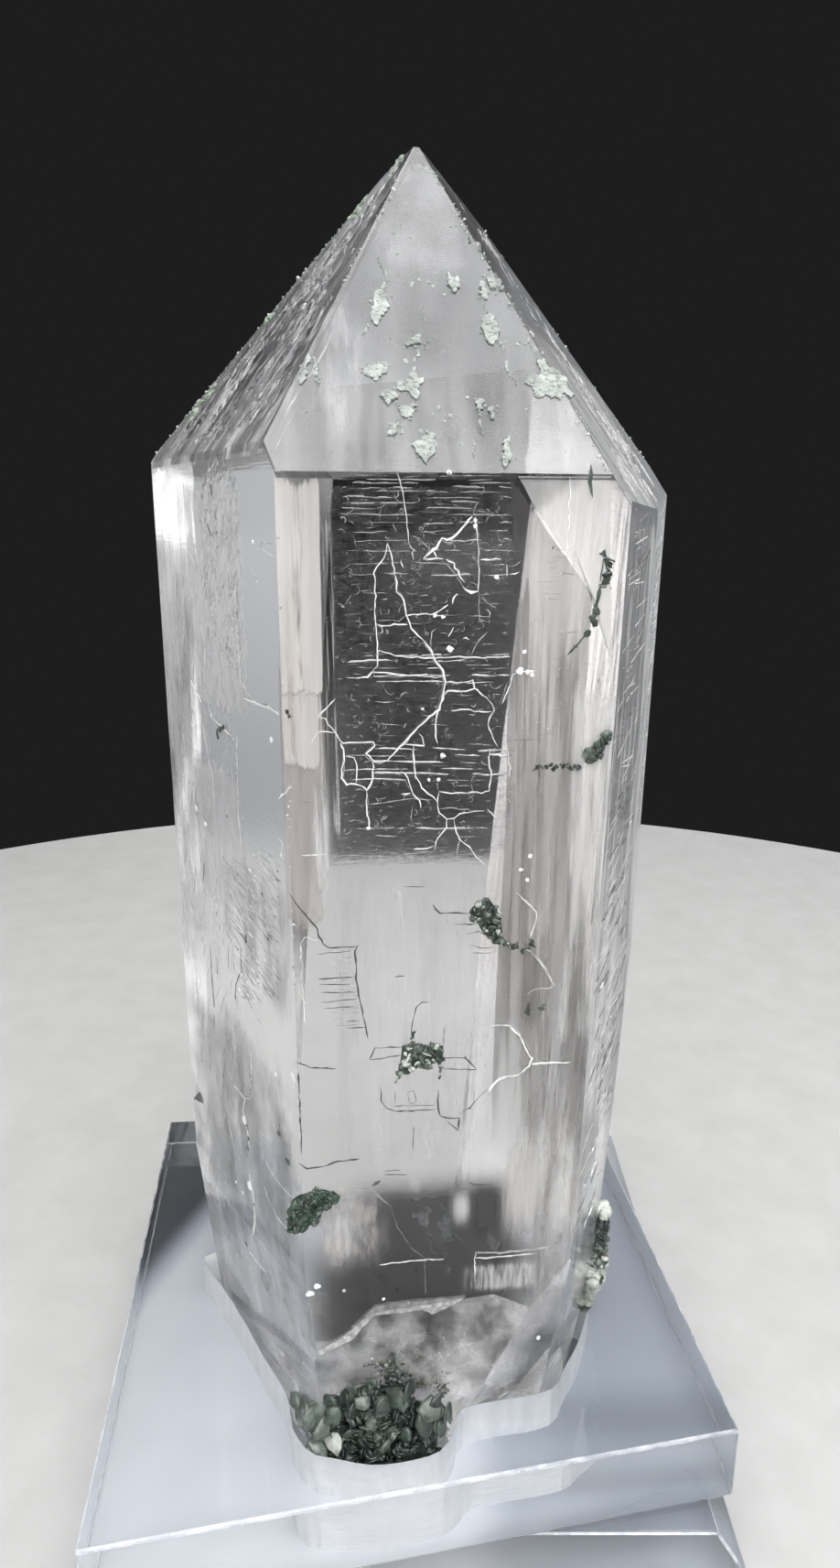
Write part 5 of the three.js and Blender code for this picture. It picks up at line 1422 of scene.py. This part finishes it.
def pocket_room(c_, q_):
    """Clear of the pocket wall, and above the pocket's bottom."""
    if c_[2] - q_ * 0.9 < 12.4:
        return False
    if c_[2] - q_ > 25.0:
        return c_[1] > -41.3
    p_ = c_[:2]
    if not inside(POCKET, p_[None])[0]:
        return False
    a_, b_ = POCKET, np.roll(POCKET, -1, 0)
    t_ = np.clip(np.sum((p_ - a_) * (b_ - a_), 1) / np.sum((b_ - a_) ** 2, 1), 0, 1)
    return np.linalg.norm(a_ + (b_ - a_) * t_[:, None] - p_, axis=1).min() > q_ * 0.8 + 0.15


foot = Soup()
r = np.random.default_rng(301)
core_c, core_r = np.array([-2.2, -35.0, 20.8]), np.array([8.6, 4.9, 9.6])
cv, cf = pebble(core_c + np.array([0, 0.8, -0.6]), core_r * 0.86, r, 0.07, detail=3)
cv[:, 2] = np.maximum(cv[:, 2], 12.7)
foot.add(cv, cf, 0)


def foot_height(d_):
    return core_c + d_ * core_r * (1.0 if d_[2] < 0 else 1.0)


for k_ in range(1160):                                             # dark small platelets all over, larger grey-green ones on top
    u_, a_ = r.uniform(-1, 1), r.uniform(-math.pi, 0)
    d_ = np.array([math.cos(a_) * math.sqrt(1 - u_ * u_), math.sin(a_) * math.sqrt(1 - u_ * u_), u_])
    if k_ < 330:
        rad, thick, count, shell_, mat = r.uniform(0.35, 0.9), r.uniform(0.12, 0.25), int(r.integers(1, 4)), r.uniform(0.84, 1.0), int(r.choice([0, 0, 0, 0, 1, 1, 2]))
    elif k_ < 560:
        rad, thick, count, shell_, mat = r.uniform(0.5, 1.15), r.uniform(0.16, 0.36), int(r.integers(2, 4)), r.uniform(0.88, 1.02), int(r.choice([1, 1, 0, 0, 2]))
    elif k_ < 640:
        rad, thick, count, shell_, mat = r.uniform(0.8, 1.5), r.uniform(0.25, 0.42), int(r.integers(1, 4)), r.uniform(0.9, 1.05), int(r.choice([1, 1, 0, 2]))
    else:
        rad, thick, count, shell_, mat = r.uniform(0.14, 0.38), r.uniform(0.06, 0.12), int(r.integers(1, 3)), r.uniform(0.97, 1.1), int(r.choice([1, 1, 0, 0, 2]))
    c_ = foot_height(d_) * shell_ + core_c * (1 - shell_)
    n_ax = np.cross(d_, r.standard_normal(3)) + d_ * r.uniform(-0.9, 0.9)
    book(foot, c_, n_ax, rad, thick, count, r, mat, pocket_room)
# larger rounded leaves at the front
for px, py, rad, thick, mat, tilt in [(340, 1548, 2.3, 0.9, 2, (0.7, -0.7, 0.1)), (352, 1561, 2.0, 0.8, 2, (0.2, -0.7, 0.7)), (331, 1539, 1.9, 0.9, 2, (-0.8, -0.5, 0.3)),
                                      (366, 1573, 1.9, 0.6, 5, (-0.6, -0.6, 0.5)), (363, 1546, 1.5, 0.6, 1, (0.1, -0.9, 0.4)), (411, 1560, 2.2, 0.9, 2, (0.4, -0.8, 0.4)),
                                      (424, 1578, 1.9, 0.8, 2, (0.7, -0.6, -0.2)), (402, 1576, 1.2, 0.5, 2, (-0.1, -0.95, 0.2)), (446, 1566, 1.6, 0.7, 1, (-0.5, -0.8, 0.2)),
                                      (464, 1552, 2.3, 0.9, 1, (0.5, -0.8, 0.3)), (470, 1541, 2.0, 0.7, 2, (0.1, -0.8, 0.6)), (480, 1562, 1.7, 0.6, 1, (0.8, -0.6, 0.1)),
                                      (419, 1536, 1.6, 0.5, 1, (0.5, -0.8, 0.4)), (434, 1531, 1.8, 0.6, 1, (-0.6, -0.7, 0.4)), (398, 1533, 1.3, 0.5, 2, (0.3, -0.7, 0.7)),
                                      (386, 1541, 1.2, 0.4, 0, (0.8, -0.6, 0.2)), (448, 1518, 1.6, 0.5, 0, (0.9, -0.4, 0.2)), (440, 1590, 0.7, 0.5, 1, (0, -0.9, 0.3)),
                                      (347, 1583, 1.5, 0.5, 2, (0.3, -0.5, 0.8)), (456, 1583, 1.3, 0.5, 0, (0.4, -0.9, 0.1)), (322, 1527, 1.4, 0.5, 2, (-0.5, -0.6, 0.6)),
                                      (490, 1545, 1.3, 0.4, 2, (0.9, -0.4, 0.2)), (476, 1530, 1.2, 0.3, 0, (0.2, -0.8, 0.6))]:
    d_ = ray(px, py)
    t_ = (-38.6 - EYE[1]) / d_[1]
    q_ = EYE + d_ * t_
    q_[1] = max(q_[1], -40.6)
    for _ in range(6):
        if pocket_room(q_, rad):
            break
        q_ = q_ + np.array([0.0, 0.5, 0.2])
    book(foot, q_, np.array(tilt), rad, thick, int(r.integers(1, 3)), r, mat)
for _ in range(230):                                               # the spike and the yellowish specks round it
    t_ = r.random()
    rad_ = r.uniform(0.15, 0.62) * (1.15 - 0.75 * t_)
    c_ = np.array([0.4 + r.normal(0, 1.5 * (1 - 0.75 * t_)), 0, 26.5 + 9.5 * t_])
    c_[1] = on_front(c_[0], c_[2], 2.0 - 0.041 * (c_[2] - 15.0))[1] - rad_ * 0.5
    rad = rad_
    book(foot, c_, r.standard_normal(3), rad, rad * 0.35, int(r.integers(1, 3)), r, int(r.choice([0, 0, 0, 1])))
for px, py, n_, sx, sy in [(420, 1500, 60, 12, 4), (447, 1490, 45, 12, 6), (464, 1520, 50, 6, 3), (474, 1505, 45, 7, 10), (484, 1527, 40, 4, 4)]:
    for q_ in on("m_front", [(px + r.normal(0, sx), py + r.normal(0, sy)) for _ in range(n_)]):
        q_ = q_ - FRONT.n * (2.0 - 0.041 * (q_[2] - 15.0)) + FRONT.n * 0.1
        rad = r.uniform(0.08, 0.26)
        foot.add(*pebble(q_, (rad, rad, rad), r, 0.35, random_axes(r)), int(r.choice([4, 4, 0, 5, 2])))
foot_piece = finish_piece(foot.object("foot_chlorite"), CHLORITE, ["chlorite_foot_cluster"], smooth=True)


def cluster(name, node, face, outline, count, seed, mats, sizes=(0.25, 0.9), depth=(-0.35, 0.28), legs=(), base=0, aspect=1.0):
    """Chlorite that fills a hole in a face: the outline is in points of the frame."""
    f = FACE[face]
    r = np.random.default_rng(seed)
    s_ = Soup()
    uv = uv_of(face, outline)
    s_.add(*prism(f, ragged(uv, r, 0.1, 1), -0.5, 0.06, 0.3), base)
    lo, hi = uv.min(0), uv.max(0)
    n_ = 0
    while n_ < count:
        q = r.uniform(lo, hi)
        if not inside(uv, q[None])[0]:
            continue
        rad = r.uniform(*sizes)
        nn = f.n * r.uniform(0.0, 1.0) + r.normal(0, 0.6, 3)
        book(s_, f.at(q, r.uniform(*depth)), nn, rad, rad * r.uniform(0.25, 0.45), int(r.integers(1, 4)), r, int(r.choice(mats)))
        n_ += 1
    for pts, w in legs:
        for q in resample(on(face, pts), 0.3):
            book(s_, q + r.normal(0, w * 0.2, 3), r.standard_normal(3), w * r.uniform(0.35, 0.7), w * 0.2, 1, r, int(r.choice(mats)))
    return finish_piece(s_.object(name), CHLORITE, [node] if node else [], smooth=True)


cluster("edge_chlorite", "chlorite_edge_patch", "m_front", [(316, 1332), (320, 1313), (332, 1306), (346, 1301), (358, 1302), (369, 1307), (362, 1314), (350, 1324), (344, 1334), (332, 1343), (322, 1348), (315, 1342)],
        150, 311, [3, 3, 3, 2, 2, 1], (0.2, 0.85), (-0.3, 0.5), base=3)
cluster("upper_pit_chlorite", "chlorite_pit_upper", "m_front", C([(885, 250), (925, 205), (960, 178), (1000, 215), (1025, 252), (1036, 300), (1042, 340), (1010, 366), (975, 352), (935, 322), (908, 290)]),
        90, 312, [0, 1, 2, 2, 5], (0.15, 0.55), (-0.3, 0.12), legs=[(C([(990, 365), (1040, 392), (1080, 405), (1110, 415)]), 1.0), (C([(1150, 440), (1170, 420), (1185, 385)]), 0.8), (C([(960, 330), (1020, 360)]), 1.3)], base=0)
cluster("lower_pit_chlorite", "chlorite_pit_lower", "m_front", C([(565, 890), (612, 872), (640, 884), (760, 885), (758, 945), (700, 975), (640, 985), (600, 1000), (566, 1010), (548, 1026), (556, 960)]),
        90, 313, [0, 0, 1, 2, 2, 5], (0.2, 0.7), (-0.3, 0.15), legs=[(C([(612, 868), (616, 840), (618, 815)]), 0.6), (C([(744, 960), (746, 1000), (744, 1040)]), 0.55), (C([(560, 1010), (545, 1040), (535, 1060)]), 0.4)], base=0)
cluster("right_pit_chlorite", "chlorite_pit_right", "m_front", D([(340, 1292), (352, 1262), (380, 1238), (415, 1205), (448, 1172), (452, 1200), (430, 1240), (420, 1270), (400, 1292), (370, 1300)]),
        80, 314, [0, 1, 1, 2, 2], (0.15, 0.6), (-0.3, 0.2), legs=[(D([(140, 1330), (200, 1322), (260, 1326), (330, 1330)]), 0.6), (D([(430, 420), (445, 460), (450, 492), (438, 532), (422, 560)]), 0.9)], base=1)

crust = Soup()
r = np.random.default_rng(330)
CRUST_PATH = np.array([(32.6, -17.6, 45.8), (32.1, -18.6, 38.5), (31.3, -18.4, 33.5), (30.5, -17.3, 26.9)])
for k_ in range(620):
    t_ = r.random()
    wid = 0.5 + 0.95 * math.sin(math.pi * min(1.0, 0.12 + t_ * 0.95)) + 0.25 * math.sin(t_ * 23.0)
    ang = r.uniform(0, 2 * math.pi)
    c_ = np.array([np.interp(t_ * 3.0, (0, 1, 2, 3), CRUST_PATH[:, k3]) for k3 in range(3)]) + np.array([0.75 * math.cos(ang), 1.25 * math.sin(ang), 0.0]) * wid * r.uniform(0.5, 1.0)
    white = (t_ < 0.06) or (0.36 < t_ < 0.50 and r.random() < 0.6) or (0.50 < t_ < 0.92 and r.random() < 0.9)
    green = 0.06 < t_ < 0.30 or t_ > 0.92
    mat = 5 if white else int(r.choice([0, 1, 1, 2]) if green else r.choice([2, 2, 5, 1]))
    rad = r.uniform(0.15, 0.6) if k_ % 3 else r.uniform(0.45, 0.95)
    if mat == 5:
        crust.add(*pebble(c_, (rad, rad, rad * 1.25), r, 0.3, random_axes(r), detail=2 if rad > 0.7 else 1), 5)
    else:
        book(crust, c_, r.standard_normal(3), rad, rad * 0.4, int(r.integers(1, 4)), r, mat)
finish_piece(crust.object("edge_crust"), CHLORITE, ["chlorite_edge_crust"], smooth=True)

# ------------------------------------------------------------------ floor and light
def disc(name, r, z, n=128):
    me = bpy.data.meshes.new(name)
    me.from_pydata([(r * math.cos(2 * math.pi * i / n), r * math.sin(2 * math.pi * i / n), z) for i in range(n)], [], [tuple(range(n))])
    o = bpy.data.objects.new(name, me)
    scene.collection.objects.link(o)
    return o


floor = disc("floor", 0.345, -0.0004)
sh = Shade("floor_paint", Roughness=0.6)
grain = sh.noise(sh.scaled(0.08, 0.08, 0.08), 1.0, 5.0, 0.6)
sh.set(Base_Color=sh.colour(grain, [(0.3, (0.455, 0.455, 0.45)), (0.7, (0.51, 0.51, 0.505))]),
       Normal=sh.bump(sh.noise(sh.scaled(1.2, 1.2, 1.2), 1.0, 2.0), 0.05, 0.3))
floor.data.materials.append(sh.mat)


def bump1(x, c, w):
    d = abs((x - c + 180.0) % 360.0 - 180.0)
    return math.exp(-0.5 * (d / w) ** 2)


def level(z, a, b, soft):
    up = min(max((z - a) / soft + 0.5, 0.0), 1.0)
    down = min(max((b - z) / soft + 0.5, 0.0), 1.0)
    return up * down


# soft boxes as (azimuth, half width, lowest, highest, softness, strength, colour); azimuth 0 is straight behind, 90 to the right
WALLS = [
    (30, 12, -0.1, 0.33, 0.10, 0.45, (0.93, 0.96, 1.0)),
    (112, 9, 0.04, 0.33, 0.06, 1.25, (1.0, 1.0, 1.0)),
    (135, 8, -0.1, 0.42, 0.08, 1.55, (1.0, 1.0, 1.0)),
    (180, 22, 0.25, 0.70, 0.06, 4.6, (1.0, 1.0, 1.0)),
    (180, 24, -0.1, 0.09, 0.08, 0.30, (1.0, 1.0, 1.0)),
    (246, 10, 0.08, 0.42, 0.06, 1.35, (1.0, 0.975, 0.96)),
    (240, 12, -0.1, 0.08, 0.06, 0.8, (1.0, 0.97, 0.95)),
    (290, 8, 0.05, 0.33, 0.06, 1.05, (1.0, 1.0, 1.0)),
    (340, 4, -0.1, 0.065, 0.03, 1.3, (1.0, 0.99, 0.98)),
    (315, 10, -0.1, 0.20, 0.10, 0.12, (1.0, 1.0, 1.0)),
    (50, 9, -0.1, 0.20, 0.10, 0.18, (1.0, 1.0, 1.0)),
    (322, 9, 0.40, 0.95, 0.20, 0.35, (1.0, 1.0, 1.0)),
    (30, 8, 0.40, 0.95, 0.20, 0.7, (1.0, 1.0, 1.0)),
]
ROOF = [(165, 40, 0.36, 0.85, 8.0), (0, 400, -0.1, 0.34, 3.8)]


def radiance(az, r, z, roof):
    c = np.full(3, 0.005)
    if roof:
        for a, w, r0, r1, s in ROOF:
            c += s * (bump1(az, a, w) if w < 360 else 1.0) * level(r, r0, r1, 0.08)
    else:
        for a, w, z0, z1, soft, s, col in WALLS:
            c += s * bump1(az, a, w) * level(z, z0, z1, soft) * np.array(col)
    return c


SHELL = [(0.345, -0.0004), (0.395, 0.02), (0.44, 0.04), (0.49, 0.06), (0.56, 0.095), (0.62, 0.13), (0.69, 0.22), (0.75, 0.30), (0.82, 0.5), (0.9, 0.75),
         (0.75, 0.81), (0.62, 0.87), (0.55, 0.9), (0.42, 0.92), (0.3, 0.94), (0.22, 0.955), (0.12, 0.965), (0.02, 0.97)]
NA = 144
verts, faces, cols = [], [], []
for j, (r, z) in enumerate(SHELL):
    for i in range(NA):
        a = 2 * math.pi * i / NA
        verts.append((r * math.sin(a), r * math.cos(a), z))
        cols.append(radiance(math.degrees(a), r, z, j > 9))
for j in range(len(SHELL) - 1):
    for i in range(NA):
        faces.append((j * NA + i, (j + 1) * NA + i, (j + 1) * NA + (i + 1) % NA, j * NA + (i + 1) % NA))
me = bpy.data.meshes.new("light_shell")
me.from_pydata(verts, [], faces)
att = me.color_attributes.new("radiance", "FLOAT_COLOR", "POINT")
att.data.foreach_set("color", np.hstack([np.array(cols), np.ones((len(cols), 1))]).ravel())
shell = bpy.data.objects.new("light_shell", me)
scene.collection.objects.link(shell)
mat = bpy.data.materials.new("light_shell")
mat.use_nodes = True
nt = mat.node_tree
nt.nodes.clear()
o_ = nt.nodes.new("ShaderNodeOutputMaterial")
e_ = nt.nodes.new("ShaderNodeEmission")
c_ = nt.nodes.new("ShaderNodeVertexColor")
c_.layer_name = "radiance"
nt.links.new(c_.outputs["Color"], e_.inputs["Color"])
nt.links.new(e_.outputs[0], o_.inputs["Surface"])
me.materials.append(mat)
shell.visible_camera = False

world = bpy.data.worlds.new("world")
world.use_nodes = True
world.node_tree.nodes["Background"].inputs[0].default_value = (0.0125, 0.0127, 0.0135, 1.0)
scene.world = world

scene.view_settings.view_transform = "Standard"
scene.cycles.use_denoising = True
scene.cycles.max_bounces = 16
scene.cycles.transmission_bounces = 16
scene.cycles.glossy_bounces = 10
scene.cycles.diffuse_bounces = 3
scene.cycles.transparent_max_bounces = 24
scene.cycles.caustics_reflective = True
scene.cycles.caustics_refractive = True
scene.cycles.sample_clamp_indirect = 6.0
